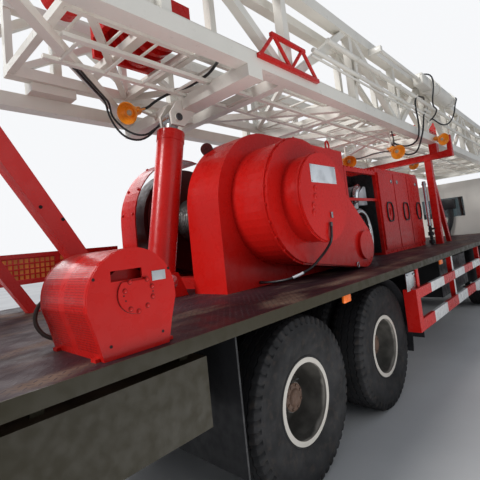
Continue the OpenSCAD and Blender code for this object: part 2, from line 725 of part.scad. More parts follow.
// Flat side truss of the lower section on the left, hinge eye at its rear foot
module lower_side() color(ivory) {
    y0 = lower_half - chord;
    difference() {
        union() {
            span([hinge_x, y0, lower_z0], [lower_front, lower_half, lower_back_z1]);
            bar_y(hinge_x, hinge_z, y0 + 5 + seat, lower_half - 5 - seat, 85);
        }
        bar_y(hinge_x, hinge_z, y0 - 1, lower_half + 1, pin_r + fit_gap);
        span([hinge_x - 100, lower_half - 5 - seat, lower_z0 - 1], [hinge_x + 160, lower_half + 1, lower_back_z1 + 40]);
        span([hinge_x - 100, y0 - 1, lower_z0 - 1], [hinge_x + 160, y0 + 5 + seat, lower_back_z1 + 40]);
    }
    span([hinge_x + bay - 40, y0, lower_z1 - chord], [lower_front, lower_half, lower_z1]);
    for (i = [0:bays - 1]) {
        xa = hinge_x + i * bay;
        up = i % 2 == 0;
        strut_xz([xa + 60, up ? lower_back_z1 - 40 : lower_z1 - 60], [xa + bay - 60, up ? lower_z1 - 60 : lower_back_z1 - 40],
            y0 + 25, lower_half - 25, 80);
        if (i > 0) span([xa - 40, y0 + 20, lower_back_z1 - 1], [xa + 40, lower_half - 20, lower_z1 - chord + 1]);
    }
    span([lower_front - 80, y0 + 20, lower_back_z1 - 1], [lower_front, lower_half - 20, lower_z1 - chord + 1]);
    for (x = shoe_xs) slide_shoe(x);
}

shoe_xs = [upper_rear + 200, lower_front - 420];

// Shoe on the lower chord that the upper section's chord runs over
module slide_shoe(x) {
    span([x, upper_half - 60, lower_back_z1], [x + 400, lower_half - chord + 1, upper_z0 - seat]);
    span([x, upper_half + seat, upper_z0 - 1], [x + 400, lower_half - chord + 1, upper_z0 + 90]);
    span([x, lower_half - chord, lower_back_z1 - 1], [x + 400, lower_half - chord + 40, upper_z0 + 90]);
}

// Diagonal of the lower section's back, from one side to the other
module back_diagonal(x0, x1, s) {
    y = lower_half - chord;
    intersection() {
        strut_xy([x0, -s * y], [x1, s * y], lower_z0 + 30, lower_back_z1 - 30, 70);
        wide(x0 - 60, x1 + 60, y, lower_z0, lower_back_z1);
    }
}

beam_x = [-1250, -1070];
beam_h = 100;
ladder_y = [-470, -130];
rung_pitch = 340;

// Back bracing of the lower section, with the ladder and the cylinder's cross beam
module lower_mast_back() color(ivory) {
    y = lower_half - chord;
    for (i = [2:bays]) {
        x = min(hinge_x + i * bay, lower_front - 50);
        wide(x - 50, x + 50, y, lower_z0 + 10, lower_back_z1 - 10);
    }
    back_diagonal(-3020, beam_x[0] - 60, 1);
    back_diagonal(beam_x[1] + 60, hinge_x + 3 * bay - 45, -1);
    for (i = [3:bays - 1]) back_diagonal(hinge_x + i * bay + 45, hinge_x + (i + 1) * bay - 45, i % 2 == 0 ? 1 : -1);
    // Cross beam under the chords, and the lugs for the cylinder's eye behind it
    wide(beam_x[0], beam_x[1], lower_half, lower_z0 - beam_h, lower_z0 - seat);
    wide(beam_x[0] + 30, beam_x[1] - 30, y, lower_z0 - seat - 1, lower_z0 + 40);
    both() {
        profile([[beam_x[0] + 20, lower_z0 - beam_h + 1], [beam_x[1] - 20, lower_z0 - beam_h + 1],
            [cyl_eye[0] + 70, cyl_eye[1] - 75], [cyl_eye[0] - 70, cyl_eye[1] - 70], [cyl_eye[0] - 80, cyl_eye[1] + 40],
            [beam_x[0] - 40, lower_z0 - 10], [beam_x[0] + 20, lower_z0 - 10]], rod_r + 6, rod_r + 31);
        bar_y(cyl_eye[0], cyl_eye[1], rod_r + 30, rod_r + 50, 40);
    }
    // Ladder
    for (yy = ladder_y) span([upper_rear, yy - 20, lower_z0 + 12], [lower_front - 60, yy + 20, lower_z0 + 42]);
    for (i = [0:37]) bar_y(upper_rear + 120 + i * rung_pitch, lower_z0 + 27, ladder_y[0] + 10, ladder_y[1] - 10, 13);
}

board_x = 6200;
board_pin_r = 20;

board_half = upper_half - 40;
board_len = 1700;
board_hub = 30;

// Ear that holds the racking platform's pin, and the rest under its free end
module board_ear() {
    difference() {
        span([board_x - 45, upper_half - 32, upper_z1 - 1], [board_x + 45, upper_half - 2, upper_z1 + 100]);
        bar_y(board_x, upper_z1 + 60, upper_half - 33, upper_half, board_pin_r + fit_gap);
    }
    span([board_x + board_len - 200, upper_half - 100, upper_z1 - 1], [board_x + board_len - 100, upper_half - 10, upper_z1 + 30 - seat]);
}

// Flat side truss of the upper section on the left
module upper_side() color(ivory) {
    t = 100;
    y0 = upper_half - t;
    for (z = [upper_z0, upper_z1 - t]) span([upper_rear, y0, z], [upper_front, upper_half, z + t]);
    board_ear();
    n = 13;
    step = (upper_front - upper_rear) / n;
    for (i = [0:n - 1]) {
        xa = upper_rear + i * step;
        up = i % 2 == 0;
        strut_xz([xa + 50, up ? upper_z0 + 60 : upper_z1 - 60], [xa + step - 50, up ? upper_z1 - 60 : upper_z0 + 60],
            y0 + 20, upper_half - 20, 60);
        span([xa, y0 + 15, upper_z0 + t - 1], [xa + 60, upper_half - 15, upper_z1 - t + 1]);
    }
}

block_x = -1500;
block_z = 3720;
block_drop = 280;

module upper_mast_back() color(ivory) {
    // Cradle that the travelling block lies on
    for (x = [block_x - 350, block_x + 150])
        wide(x, x + 90, upper_half - 100, upper_z0 + 80 + seat, block_z - block_drop - seat);
    y = upper_half - 100;
    n = 13;
    step = (upper_front - upper_rear) / n;
    for (i = [0:n]) {
        x = min(upper_rear + i * step, upper_front - 60);
        wide(x, x + 60, y, upper_z0 + 10, upper_z0 + 80);
    }
    for (i = [0:n - 1]) {
        s = i % 2 == 0 ? 1 : -1;
        xa = upper_rear + i * step;
        intersection() {
            strut_xy([xa + 55, -s * y], [xa + step, s * y], upper_z0 + 20, upper_z0 + 70, 55);
            wide(xa, xa + step, y, upper_z0, upper_z1);
        }
    }
    for (yy = ladder_y) span([upper_rear + 30, yy - 20, upper_z0 + 5], [upper_front - 60, yy + 20, upper_z0 + 35]);
    for (i = [0:45]) bar_y(upper_rear + 150 + i * 310, upper_z0 + 20, ladder_y[0] + 10, ladder_y[1] - 10, 12);
}

crown_axis = [12180, 3645];
sheave_r = 340;

// Crown frame at the end of the upper section
module crown_block() color(ivory) {
    wide(upper_front, upper_front + 40, upper_half, upper_z0, upper_z1);
    both() difference() {
        profile([[upper_front + 39, upper_z0], [crown_front - 150, upper_z0 + 60], [crown_front, upper_z0 + 250],
            [crown_front, upper_z1 - 250], [crown_front - 150, upper_z1 - 60], [upper_front + 39, upper_z1]], 430, 470);
        bar_y(crown_axis[0], crown_axis[1], 429, 471, 60 + fit_gap);
    }
    wide(crown_front - 60, crown_front, 431, upper_z0 + 260, upper_z0 + 340);
    wide(crown_front - 60, crown_front, 431, upper_z1 - 340, upper_z1 - 260);
}

module crown_sheaves() color(steel) {
    bar_y(crown_axis[0], crown_axis[1], -480, 480, 60);
    for (i = [0:4]) translate([crown_axis[0], -300 + i * 150, crown_axis[1]]) rotate([-90, 0, 0])
        rotate_extrude() polygon([[60, -55], [120, -30], [sheave_r - 50, -25], [sheave_r, -35], [sheave_r - 35, 0],
            [sheave_r, 35], [sheave_r - 50, 25], [120, 30], [60, 55]]);
}

// Travelling block with its hook, lying in the mast
module travelling_block() color(red) {
    z = block_z;
    for (y = [-200, -70, 60, 190]) bar_y(block_x, z, y - 25, y + 25, 270);
    bar_y(block_x, z, -240, 240, 60);
    both() span([block_x - 420, 235, z - block_drop], [block_x + 300, 275, z + 200]);
    span([block_x - 420, -260, z - 100], [block_x - 360, 260, z + 100]);
    translate([block_x - 700, 0, z]) rotate([0, 90, 0]) cylinder(r = 70, h = 290);
    difference() {
        bar_y(block_x - 760, z, -50, 50, 170);
        bar_y(block_x - 760, z, -51, 51, 95);
        span([block_x - 800, -51, z], [block_x - 550, 51, z + 200]);
    }
}

// Racking platform, folded onto the open face of the upper section
module racking_board() color(red) {
    z = upper_z1 + 30;
    difference() {
        union() {
            wide(board_x, board_x + board_len, board_half, z, z + 2 * board_hub);
            both() bar_y(board_x, z + board_hub, board_half - 60, board_half, board_hub);
        }
        for (i = [0:6], s = [-1, 1]) side(s)
            span([board_x + 120 + i * 215, 60, z - 1], [board_x + 260 + i * 215, board_half - 60, z + 61]);
    }
    both() bar_y(board_x, z + board_hub, board_half - 61, upper_half - 4, board_pin_r);
}

// Erecting cylinder

cyl_dir = (cyl_eye - cyl_foot) / norm(cyl_eye - cyl_foot);
cyl_len = norm(cyl_eye - cyl_foot);
cyl_tilt = atan2(cyl_dir[0], cyl_dir[1]);

// Frame of the cylinder: Z along it from its foot pin
module along_cylinder() translate([cyl_foot[0], 0, cyl_foot[1]]) rotate([0, cyl_tilt, 0]) children();

// Tube of one stage, closed at its lower end, with a gland at its mouth for the next stage
module stage(r_out, r_in, r_next, z0, z1) difference() {
    translate([0, 0, z0]) cylinder(r = r_out, h = z1 - z0);
    translate([0, 0, z0 + 30]) cylinder(r = r_in, h = z1 - z0 - 70);
    translate([0, 0, z1 - 41]) cylinder(r = r_next + seat, h = 42);
}

module cylinder_barrel() color(red) along_cylinder() {
    stage(cyl_r, 110, stage_r[0], 75, 1330);
    difference() {
        union() {
            bar_y(0, 0, -cyl_r - clear + seat, cyl_r + clear - seat, 80);
            translate([0, 0, 20]) cylinder(r = 80, h = 60);
        }
        bar_y(0, 0, -cyl_r - 20, cyl_r + 20, 40 + fit_gap);
    }
}

module cylinder_stage_1() color(red) along_cylinder() stage(stage_r[0], 90, stage_r[1], 112, 1365);
module cylinder_stage_2() color(red) along_cylinder() stage(stage_r[1], 68, rod_r, 150, 1400);

module cylinder_rod() color(steel) along_cylinder() {
    translate([0, 0, 190]) cylinder(r = rod_r, h = cyl_len - 190 - 60);
    difference() {
        bar_y(0, cyl_len, -50, 50, 75);
        bar_y(0, cyl_len, -51, 51, 40);
    }
}

// Pieces

place() chassis_frame();
place() steer_axles();
place() tandem_axles();
place() side(RIGHT) knuckle(axle_1_x);  // knuckle_1_right
place() side(LEFT) knuckle(axle_1_x);  // knuckle_1_left
place() side(RIGHT) knuckle(axle_2_x);  // knuckle_2_right
place() side(LEFT) knuckle(axle_2_x);  // knuckle_2_left
place() side(RIGHT) tyre(axle_1_x, false);  // tyre_1_right
place() side(LEFT) tyre(axle_1_x, false);  // tyre_1_left
place() side(RIGHT) tyre(axle_2_x, false);  // tyre_2_right
place() side(LEFT) tyre(axle_2_x, false);  // tyre_2_left
place() side(RIGHT) tyre(0, true);  // tyre_3_right
place() side(LEFT) tyre(0, true);  // tyre_3_left
place() side(RIGHT) tyre(axle_4_x, true);  // tyre_4_right
place() side(LEFT) tyre(axle_4_x, true);  // tyre_4_left
place() side(RIGHT) rim(axle_1_x, false);  // rim_1_right
place() side(LEFT) rim(axle_1_x, false);  // rim_1_left
place() side(RIGHT) rim(axle_2_x, false);  // rim_2_right
place() side(LEFT) rim(axle_2_x, false);  // rim_2_left
place() side(RIGHT) rim(0, true);  // rim_3_right
place() side(LEFT) rim(0, true);  // rim_3_left
place() side(RIGHT) rim(axle_4_x, true);  // rim_4_right
place() side(LEFT) rim(axle_4_x, true);  // rim_4_left
place() cab_shell();
place() side(RIGHT) cab_door();  // cab_door_right
place() side(LEFT) cab_door();  // cab_door_left
place() cab_glass();
place() cab_interior();
place() deck();
place() deck_edge();
place() side_guards();
place() jack_leg(jack_places[0], RIGHT);  // jack_leg_1
place() jack_leg(jack_places[0], LEFT);  // jack_leg_2
place() jack_leg(jack_places[1], RIGHT);  // jack_leg_3
place() jack_leg(jack_places[1], LEFT);  // jack_leg_4
place() engine_house();
place() house_door(0);  // house_door_1
place() house_door(1);  // house_door_2
place() house_door(2);  // house_door_3
place() powertrain();
place() drawworks_frame();
place() chain_case();
place() drum();
place() brake_housing();
place() rear_support();
place() gantry();
place() side(RIGHT) lower_side();  // lower_mast_right
place() side(LEFT) lower_side();  // lower_mast_left
place() lower_mast_back();
place() side(RIGHT) upper_side();  // upper_mast_right
place() side(LEFT) upper_side();  // upper_mast_left
place() upper_mast_back();
place() crown_block();
place() crown_sheaves();
place() travelling_block();
place() racking_board();
place() cylinder_barrel();
place() cylinder_stage_1();
place() cylinder_stage_2();
place() cylinder_rod();
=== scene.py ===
"""Finishes and fittings of a truck-mounted workover rig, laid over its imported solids.

Lengths are metres. Places are written with x counted forward from the third axle, y to the left and z up
from the ground, and at() turns them into the row frame.
"""

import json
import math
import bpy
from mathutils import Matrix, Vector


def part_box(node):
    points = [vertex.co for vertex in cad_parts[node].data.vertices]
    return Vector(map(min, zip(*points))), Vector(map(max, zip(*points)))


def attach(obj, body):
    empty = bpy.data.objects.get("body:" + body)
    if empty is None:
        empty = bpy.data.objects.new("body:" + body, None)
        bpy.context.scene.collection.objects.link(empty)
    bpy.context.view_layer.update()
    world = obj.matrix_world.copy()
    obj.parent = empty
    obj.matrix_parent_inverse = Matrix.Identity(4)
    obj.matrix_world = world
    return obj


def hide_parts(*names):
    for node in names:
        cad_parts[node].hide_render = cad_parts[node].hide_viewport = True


bl_info = {
    "name": "Workover rig",
    "version": (1, 0, 0),
    "blender": (4, 5, 0),
    "location": "View3D > Sidebar > Rig",
    "description": "Paints a workover rig and adds its hoses, lamps, tyres and fittings",
    "category": "Add Mesh",
}

import bmesh
import bpy
from bpy.props import FloatProperty, FloatVectorProperty, IntProperty, PointerProperty
from mathutils import Matrix, Vector

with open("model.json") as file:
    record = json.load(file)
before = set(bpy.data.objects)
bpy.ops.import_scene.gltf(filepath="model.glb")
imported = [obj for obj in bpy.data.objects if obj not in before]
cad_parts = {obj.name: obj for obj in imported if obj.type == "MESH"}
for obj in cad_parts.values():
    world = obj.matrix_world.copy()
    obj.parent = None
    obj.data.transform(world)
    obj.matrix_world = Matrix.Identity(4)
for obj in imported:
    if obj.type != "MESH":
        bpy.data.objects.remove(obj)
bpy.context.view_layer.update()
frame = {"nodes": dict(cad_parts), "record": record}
nodes = frame["nodes"]


# Places that come from the frame


def middle(node):
    """Centre of a node's box."""
    low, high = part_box(node)
    return (low + high) / 2


axle_3 = middle("rim_3_right").x
deck_low, deck_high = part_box("deck_edge")
deck_top = deck_high.z
deck_half = deck_high.y
brake_low, brake_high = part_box("brake_housing")
case_low, case_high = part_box("chain_case")
house_low, house_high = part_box("engine_house")
cab_low, cab_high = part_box("cab_shell")
near_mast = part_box("lower_mast_right")[0].y
# The mast's pivot, counted from the third axle, and the distance between its posts
mast_foot, post_pitch = -3.400, 1.400


def at(x, y, z):
    """Point given from the third axle, in the row frame."""
    return Vector((axle_3 + x, y, z))


# Settings


def colour(name, description, default):
    """Setting for one paint."""
    return FloatVectorProperty(
        name=name, description=description, default=default, size=3, subtype="COLOR", min=0, max=1
    )


def length(name, description, default):
    """Setting for one size."""
    return FloatProperty(name=name, description=description, default=default, unit="LENGTH", min=0)


class RigColours(bpy.types.PropertyGroup):
    """Paints and other finishes"""

    red: colour("Red", "Enamel of the machinery", (0.58, 0.011, 0.008))
    ivory: colour("Ivory", "Enamel of the mast and the cab", (0.80, 0.77, 0.70))
    deck: colour("Deck", "Primer on the chequer plate", (0.040, 0.018, 0.022))
    edge: colour("Deck edge", "Olive paint along the deck's edge", (0.030, 0.024, 0.009))
    black: colour("Chassis", "Black paint of the chassis", (0.020, 0.020, 0.022))
    rubber: colour("Rubber", "Tyres", (0.018, 0.018, 0.019))
    rim: colour("Rims", "Paint of the wheel discs", (0.50, 0.47, 0.42))
    steel: colour("Steel", "Bare and plated metal", (0.55, 0.56, 0.57))
    amber: colour("Amber", "Floodlight housings and side markers", (0.93, 0.30, 0.012))
    dust: colour("Dust", "Dust that settles on flat tops", (0.30, 0.21, 0.145))
    hose: colour("Hose", "Black rubber hoses", (0.012, 0.012, 0.014))


class RigSizes(bpy.types.PropertyGroup):
    """Sizes of the fittings"""

    chequer: length("Chequer pitch", "Distance between the deck plate's lozenges", 0.034)
    hole_pitch: length("Hole pitch", "Distance between the holes of the perforated skirt", 0.0125)
    tread: length("Tread", "Depth of the tyres' grooves", 0.012)
    lugs: IntProperty(name="Lugs", description="Lugs round a tyre", default=52, min=12)
    lamp: length("Floodlight", "Radius of a floodlight's bell", 0.1)
    key_light: FloatProperty(name="Key light", description="Strength of the main soft light, W/m2",
                             default=2.2)


# Materials


class Finish:
    """A material whose nodes are added one by one."""

    def __init__(self, name, **sockets):
        self.material = bpy.data.materials.new(name)
        self.material.use_nodes = True
        self.tree = self.material.node_tree
        self.shader = self.tree.nodes["Principled BSDF"]
        self.where = self.add("ShaderNodeTexCoord").outputs["Object"]
        for socket, value in sockets.items():
            self.put(self.shader.inputs[socket.replace("_", " ")], value)

    def add(self, kind, **settings):
        node = self.tree.nodes.new(kind)
        for key, value in settings.items():
            setattr(node, key, value)
        return node

    def put(self, socket, value):
        """Sets a socket to a value or links it to another node's output."""
        if isinstance(value, bpy.types.NodeSocket):
            self.tree.links.new(value, socket)
        elif socket.type == "RGBA" and len(value) == 3:
            socket.default_value = (*value, 1)
        else:
            socket.default_value = value

    def noise(self, scale, detail=3.0, stretch=None):
        """Soft pattern from 0 to 1."""
        node = self.add("ShaderNodeTexNoise")
        where = self.where
        if stretch:
            mapping = self.add("ShaderNodeMapping")
            self.put(mapping.inputs["Vector"], where)
            mapping.inputs["Scale"].default_value = stretch
            where = mapping.outputs["Vector"]
        self.put(node.inputs["Vector"], where)
        node.inputs["Scale"].default_value = scale
        node.inputs["Detail"].default_value = detail
        return node.outputs["Fac"]

    def fit(self, value, low, high, to_low=0.0, to_high=1.0):
        """Spreads a span of a value over another span."""
        node = self.add("ShaderNodeMapRange", interpolation_type="SMOOTHSTEP")
        for socket, number in zip(("From Min", "From Max", "To Min", "To Max"),
                                  (low, high, to_low, to_high)):
            node.inputs[socket].default_value = number
        self.put(node.inputs["Value"], value)
        return node.outputs["Result"]

    def sum(self, operation, *values):
        """One step of arithmetic."""
        node = self.add("ShaderNodeMath", operation=operation)
        for socket, value in zip(node.inputs, values):
            self.put(socket, value)
        return node.outputs["Value"]

    def mix(self, share, first, second):
        """Blend of two colours."""
        node = self.add("ShaderNodeMix", data_type="RGBA")
        self.put(node.inputs[0], share)
        self.put(node.inputs[6], first)
        self.put(node.inputs[7], second)
        return node.outputs[2]

    def axes(self, vector=None):
        """The three parts of a place or a normal."""
        node = self.add("ShaderNodeSeparateXYZ")
        self.put(node.inputs["Vector"], vector or self.where)
        return node.outputs["X"], node.outputs["Y"], node.outputs["Z"]

    def facing(self):
        """The surface's own direction."""
        return self.axes(self.add("ShaderNodeNewGeometry").outputs["Normal"])

    def bump(self, height, depth, strength=1.0, below=None):
        node = self.add("ShaderNodeBump")
        node.inputs["Distance"].default_value = depth
        node.inputs["Strength"].default_value = strength
        self.put(node.inputs["Height"], height)
        if below:
            self.put(node.inputs["Normal"], below)
        return node.outputs["Normal"]

    def end(self, **sockets):
        for socket, value in sockets.items():
            self.put(self.shader.inputs[socket.replace("_", " ")], value)
        return self.material


def shade(tone, factor):
    """A colour made darker or lighter."""
    return tuple(min(1.0, part * factor) for part in tone)


def enamel(name, tone, gloss=0.28, coat=0.08, dusty=0.18):
    """Sprayed enamel: slow changes of tone, orange peel, and dust on what faces up."""
    paint = Finish(name, Coat_Weight=coat, Coat_Roughness=0.1, Specular_IOR_Level=0.25)
    dust = tuple(bpy.context.scene.rig_colours.dust)
    tone_here = paint.mix(paint.fit(paint.noise(1.1, 4), 0.35, 0.65), shade(tone, 0.94), shade(tone, 1.05))
    grime = paint.fit(paint.noise(7, 6, (1, 1, 0.25)), 0.56, 0.78, 0, 0.15)
    tone_here = paint.mix(grime, tone_here, shade(tone, 0.62))
    up = paint.fit(paint.facing()[2], 0.75, 0.98)
    settled = paint.sum("MULTIPLY", up, paint.fit(paint.noise(5, 6), 0.38, 0.72, 0.1, 1))
    tone_here = paint.mix(paint.sum("MULTIPLY", settled, dusty), tone_here, dust)
    rough = paint.fit(paint.noise(16, 4), 0.3, 0.7, gloss * 0.8, gloss * 1.35)
    rough = paint.sum("ADD", rough, paint.sum("MULTIPLY", settled, 0.3))
    peel = paint.bump(paint.noise(110, 2), 0.0004, 0.25)
    dents = paint.bump(paint.noise(1.8, 1), 0.004, 0.4, peel)
    return paint, tone_here, rough, dents


def plain_enamel(name, tone, **options):
    """Enamel of one colour."""
    paint, tone_here, rough, normal = enamel(name, tone, **options)
    return paint.end(Base_Color=tone_here, Roughness=rough, Normal=normal)


def perforated_enamel(name, tone):
    """Enamel on the brake housing, with rows of small holes round its skirt; the holes are painted darker,
    as painted shade inside them.
    """
    paint, tone_here, rough, normal = enamel(name, tone)
    pitch = bpy.context.scene.rig_sizes.hole_pitch
    x, y, z = paint.axes()
    centre_x = (brake_low.x + brake_high.x) / 2
    centre_z = brake_high.z - (brake_high.x - brake_low.x) / 2
    turn = paint.sum("ARCTAN2", paint.sum("SUBTRACT", z, centre_z), paint.sum("SUBTRACT", x, centre_x))
    radius = (brake_high.x - brake_low.x) / 2
    above = paint.sum("GREATER_THAN", z, centre_z)
    along = paint.sum("MULTIPLY", turn, radius)
    upright = paint.sum("SUBTRACT", z, centre_z)
    run = paint.sum(
        "ADD",
        paint.sum("MULTIPLY", along, above),
        paint.sum("MULTIPLY", upright, paint.sum("SUBTRACT", 1.0, above)),
    )
    row = paint.sum("DIVIDE", run, pitch * 0.87)
    odd = paint.sum("FLOORED_MODULO", paint.sum("FLOOR", row), 2.0)
    column = paint.sum("ADD", paint.sum("DIVIDE", y, pitch), paint.sum("MULTIPLY", odd, 0.5))
    across = paint.sum("SUBTRACT", paint.sum("FRACT", row), 0.5)
    over = paint.sum("SUBTRACT", paint.sum("FRACT", column), 0.5)
    off = paint.sum("SQRT", paint.sum("ADD", paint.sum("POWER", across, 2.0),
                                      paint.sum("POWER", over, 2.0)))
    hole_with_shade = paint.fit(off, 0.27, 0.34, 1, 0)
    skirt = paint.fit(paint.sum("ABSOLUTE", paint.facing()[1]), 0.3, 0.5, 1, 0)
    edges = [brake_low.y + 0.03, (brake_low.y + brake_high.y) / 2 - 0.03,
             (brake_low.y + brake_high.y) / 2 + 0.03]
    near = paint.sum("GREATER_THAN", y, edges[0])
    band = paint.sum("GREATER_THAN", paint.sum("ABSOLUTE", paint.sum("SUBTRACT", y, edges[1] + 0.03)), 0.03)
    far = paint.sum("LESS_THAN", y, brake_high.y - 0.03)
    foot = paint.sum("GREATER_THAN", z, deck_top + 0.03)
    for mask in (skirt, near, band, far, foot):
        hole_with_shade = paint.sum("MULTIPLY", hole_with_shade, mask)
    # Painted shade: the holes get a darker red that stands for the shade inside them.
    tone_here = paint.mix(hole_with_shade, tone_here, shade(tone, 0.42))
    normal = paint.bump(hole_with_shade, -0.001, 0.4, normal)
    return paint.end(Base_Color=tone_here, Roughness=rough, Normal=normal)


def banded_enamel(name, first, second, start, band):
    """Enamel of the side guards, whose rails are banded in two colours."""
    paint, tone_here, rough, normal = enamel(name, first)
    x, y, _ = paint.axes()
    place = paint.sum("DIVIDE", paint.sum("SUBTRACT", x, start), band * 2)
    turn = paint.sum("LESS_THAN", paint.sum("FRACT", place), 0.5)
    rail = paint.sum("GREATER_THAN", paint.sum("ABSOLUTE", y), deck_half - 0.0355)
    past = paint.sum("GREATER_THAN", x, start)
    share = paint.sum("MULTIPLY", paint.sum("MULTIPLY", turn, rail), past)
    film = paint.mix(paint.fit(paint.noise(8, 6), 0.5, 0.75, 0, 0.5), second, shade(second, 0.55))
    return paint.end(Base_Color=paint.mix(share, tone_here, film), Roughness=rough, Normal=normal)


def chequer_plate(name, tone):
    """Primed deck plate with crossing lozenges, bright where boots have rubbed it."""
    plate = Finish(name, Specular_IOR_Level=0.12)
    colours = bpy.context.scene.rig_colours
    pitch = bpy.context.scene.rig_sizes.chequer
    x, y, _ = plate.axes()
    slant_a = plate.sum("DIVIDE", plate.sum("ADD", x, y), pitch * 1.414)
    slant_b = plate.sum("DIVIDE", plate.sum("SUBTRACT", x, y), pitch * 1.414)
    cell = plate.sum("ADD", plate.sum("FLOOR", slant_a), plate.sum("FLOOR", slant_b))
    odd = plate.sum("FLOORED_MODULO", cell, 2.0)
    even = plate.sum("SUBTRACT", 1.0, odd)
    in_a = plate.sum("SUBTRACT", plate.sum("FRACT", slant_a), 0.5)
    in_b = plate.sum("SUBTRACT", plate.sum("FRACT", slant_b), 0.5)
    long_way = plate.sum("ADD", plate.sum("MULTIPLY", in_a, even), plate.sum("MULTIPLY", in_b, odd))
    short_way = plate.sum("ADD", plate.sum("MULTIPLY", in_b, even), plate.sum("MULTIPLY", in_a, odd))
    reach = plate.sum(
        "ADD",
        plate.sum("POWER", plate.sum("DIVIDE", long_way, 0.44), 2.0),
        plate.sum("POWER", plate.sum("DIVIDE", short_way, 0.13), 2.0),
    )
    up = plate.fit(plate.facing()[2], 0.8, 0.95)
    lozenge = plate.sum("MULTIPLY", plate.fit(reach, 0.75, 1.15, 1, 0), up)
    base = plate.mix(plate.fit(plate.noise(0.9, 5), 0.35, 0.65), shade(tone, 0.75), shade(tone, 1.35))
    worn = plate.sum("MULTIPLY", lozenge, plate.fit(plate.noise(3, 6), 0.45, 0.68, 0.02, 0.18))
    base = plate.mix(worn, base, shade(tuple(colours.steel), 0.45))
    sand = plate.sum("MULTIPLY", up, plate.fit(plate.noise(2.3, 8, (0.6, 1.6, 1)), 0.50, 0.70, 0, 0.6))
    sand = plate.sum("MULTIPLY", sand, plate.sum("SUBTRACT", 1.0, plate.sum("MULTIPLY", lozenge, 0.8)))
    base = plate.mix(sand, base, tuple(colours.dust))
    rough = plate.sum("ADD", plate.fit(plate.noise(9, 5), 0.3, 0.7, 0.42, 0.62),
                      plate.sum("MULTIPLY", sand, 0.3))
    normal = plate.bump(lozenge, 0.0013, 0.8, plate.bump(plate.noise(60, 3), 0.0008, 0.4))
    return plate.end(Base_Color=base, Roughness=rough, Normal=normal)


def rubber(name, tone):
    """Tyre rubber, browner with road dust on the tread."""
    tyre = Finish(name, Specular_IOR_Level=0.2)
    dust = tuple(bpy.context.scene.rig_colours.dust)
    base = tyre.mix(tyre.fit(tyre.noise(4, 5), 0.35, 0.7), shade(tone, 0.8), shade(tone, 1.5))
    base = tyre.mix(tyre.fit(tyre.noise(22, 6), 0.5, 0.75, 0, 0.2), base, shade(dust, 0.35))
    rough = tyre.fit(tyre.noise(12, 4), 0.3, 0.7, 0.62, 0.85)
    return tyre.end(Base_Color=base, Roughness=rough, Normal=tyre.bump(tyre.noise(90, 3), 0.0012, 0.5))


def rim_with_painted_shade(name, tone, mid_y):
    """Wheel paint: a pale flange, and a barrel and disc painted darker, as painted shade in the wheel's
    deep dish together with rust and grime.
    """
    paint, tone_here, rough, normal = enamel(name, tone, gloss=0.4, dusty=0.1)
    _, y, _ = paint.axes()
    out = paint.sum("ADD", paint.sum("ABSOLUTE", y), paint.fit(paint.noise(9, 5), 0.3, 0.7, -0.012, 0.012))
    # Painted shade: inside the flange the paint is darkened for the shade in the dish and barrel, with some
    # rust.
    inside_shade_and_rust = paint.mix(paint.fit(paint.noise(6, 5), 0.35, 0.7), shade(tone, 0.16), shade(tone, 0.34))
    share = paint.fit(out, mid_y - 0.045, mid_y - 0.012, 1, 0)
    return paint.end(Base_Color=paint.mix(share, tone_here, inside_shade_and_rust), Roughness=rough, Normal=normal)


def edge_paint(name, tone, black):
    """Olive enamel along the deck, and black on the lockers ahead of the twin wheels."""
    paint, tone_here, rough, normal = enamel(name, tone, gloss=0.45, dusty=0.3)
    x, _, z = paint.axes()
    ahead = paint.sum("GREATER_THAN", x, at(1.0, 0, 0).x)
    share = paint.sum("MULTIPLY", ahead, paint.sum("LESS_THAN", z, deck_top - 0.068))
    return paint.end(Base_Color=paint.mix(share, tone_here, black), Roughness=rough, Normal=normal)


def bare_metal(name, tone, gloss=0.3):
    """Turned or plated metal with fine scratches and a little oil."""
    metal = Finish(name)
    base = metal.mix(metal.fit(metal.noise(6, 5), 0.35, 0.7), shade(tone, 0.6), shade(tone, 1.1))
    oil = metal.fit(metal.noise(2.5, 5), 0.55, 0.75, 0, 0.6)
    base = metal.mix(oil, base, (0.05, 0.04, 0.03))
    rough = metal.fit(metal.noise(40, 4, (1, 0.15, 1)), 0.3, 0.7, gloss * 0.6, gloss * 1.6)
    metallic = metal.sum("SUBTRACT", 1.0, oil)
    return metal.end(Base_Color=base, Roughness=rough, Metallic=metallic,
                     Normal=metal.bump(metal.noise(150, 2), 0.0003, 0.5))


def moulded(name, tone, gloss=0.4, grain=200, glow=0.0):
    """Moulded plastic or rubber with a fine grain."""
    skin = Finish(name)
    base = skin.mix(skin.fit(skin.noise(9, 4), 0.35, 0.65), shade(tone, 0.8), shade(tone, 1.12))
    rough = skin.fit(skin.noise(30, 3), 0.3, 0.7, gloss * 0.85, gloss * 1.25)
    if glow:
        skin.end(Emission_Color=tone, Emission_Strength=glow)
    return skin.end(Base_Color=base, Roughness=rough, Normal=skin.bump(skin.noise(grain, 2), 0.0004, 0.5))


def clear_glass(name):
    """Cab glass with a grey tint and a film of dust."""
    glass = Finish(name, IOR=1.45, Transmission_Weight=1.0)
    film = glass.fit(glass.noise(3, 5), 0.4, 0.75, 0.02, 0.16)
    return glass.end(Base_Color=glass.mix(film, (0.22, 0.26, 0.27), (0.34, 0.34, 0.33)), Roughness=film)


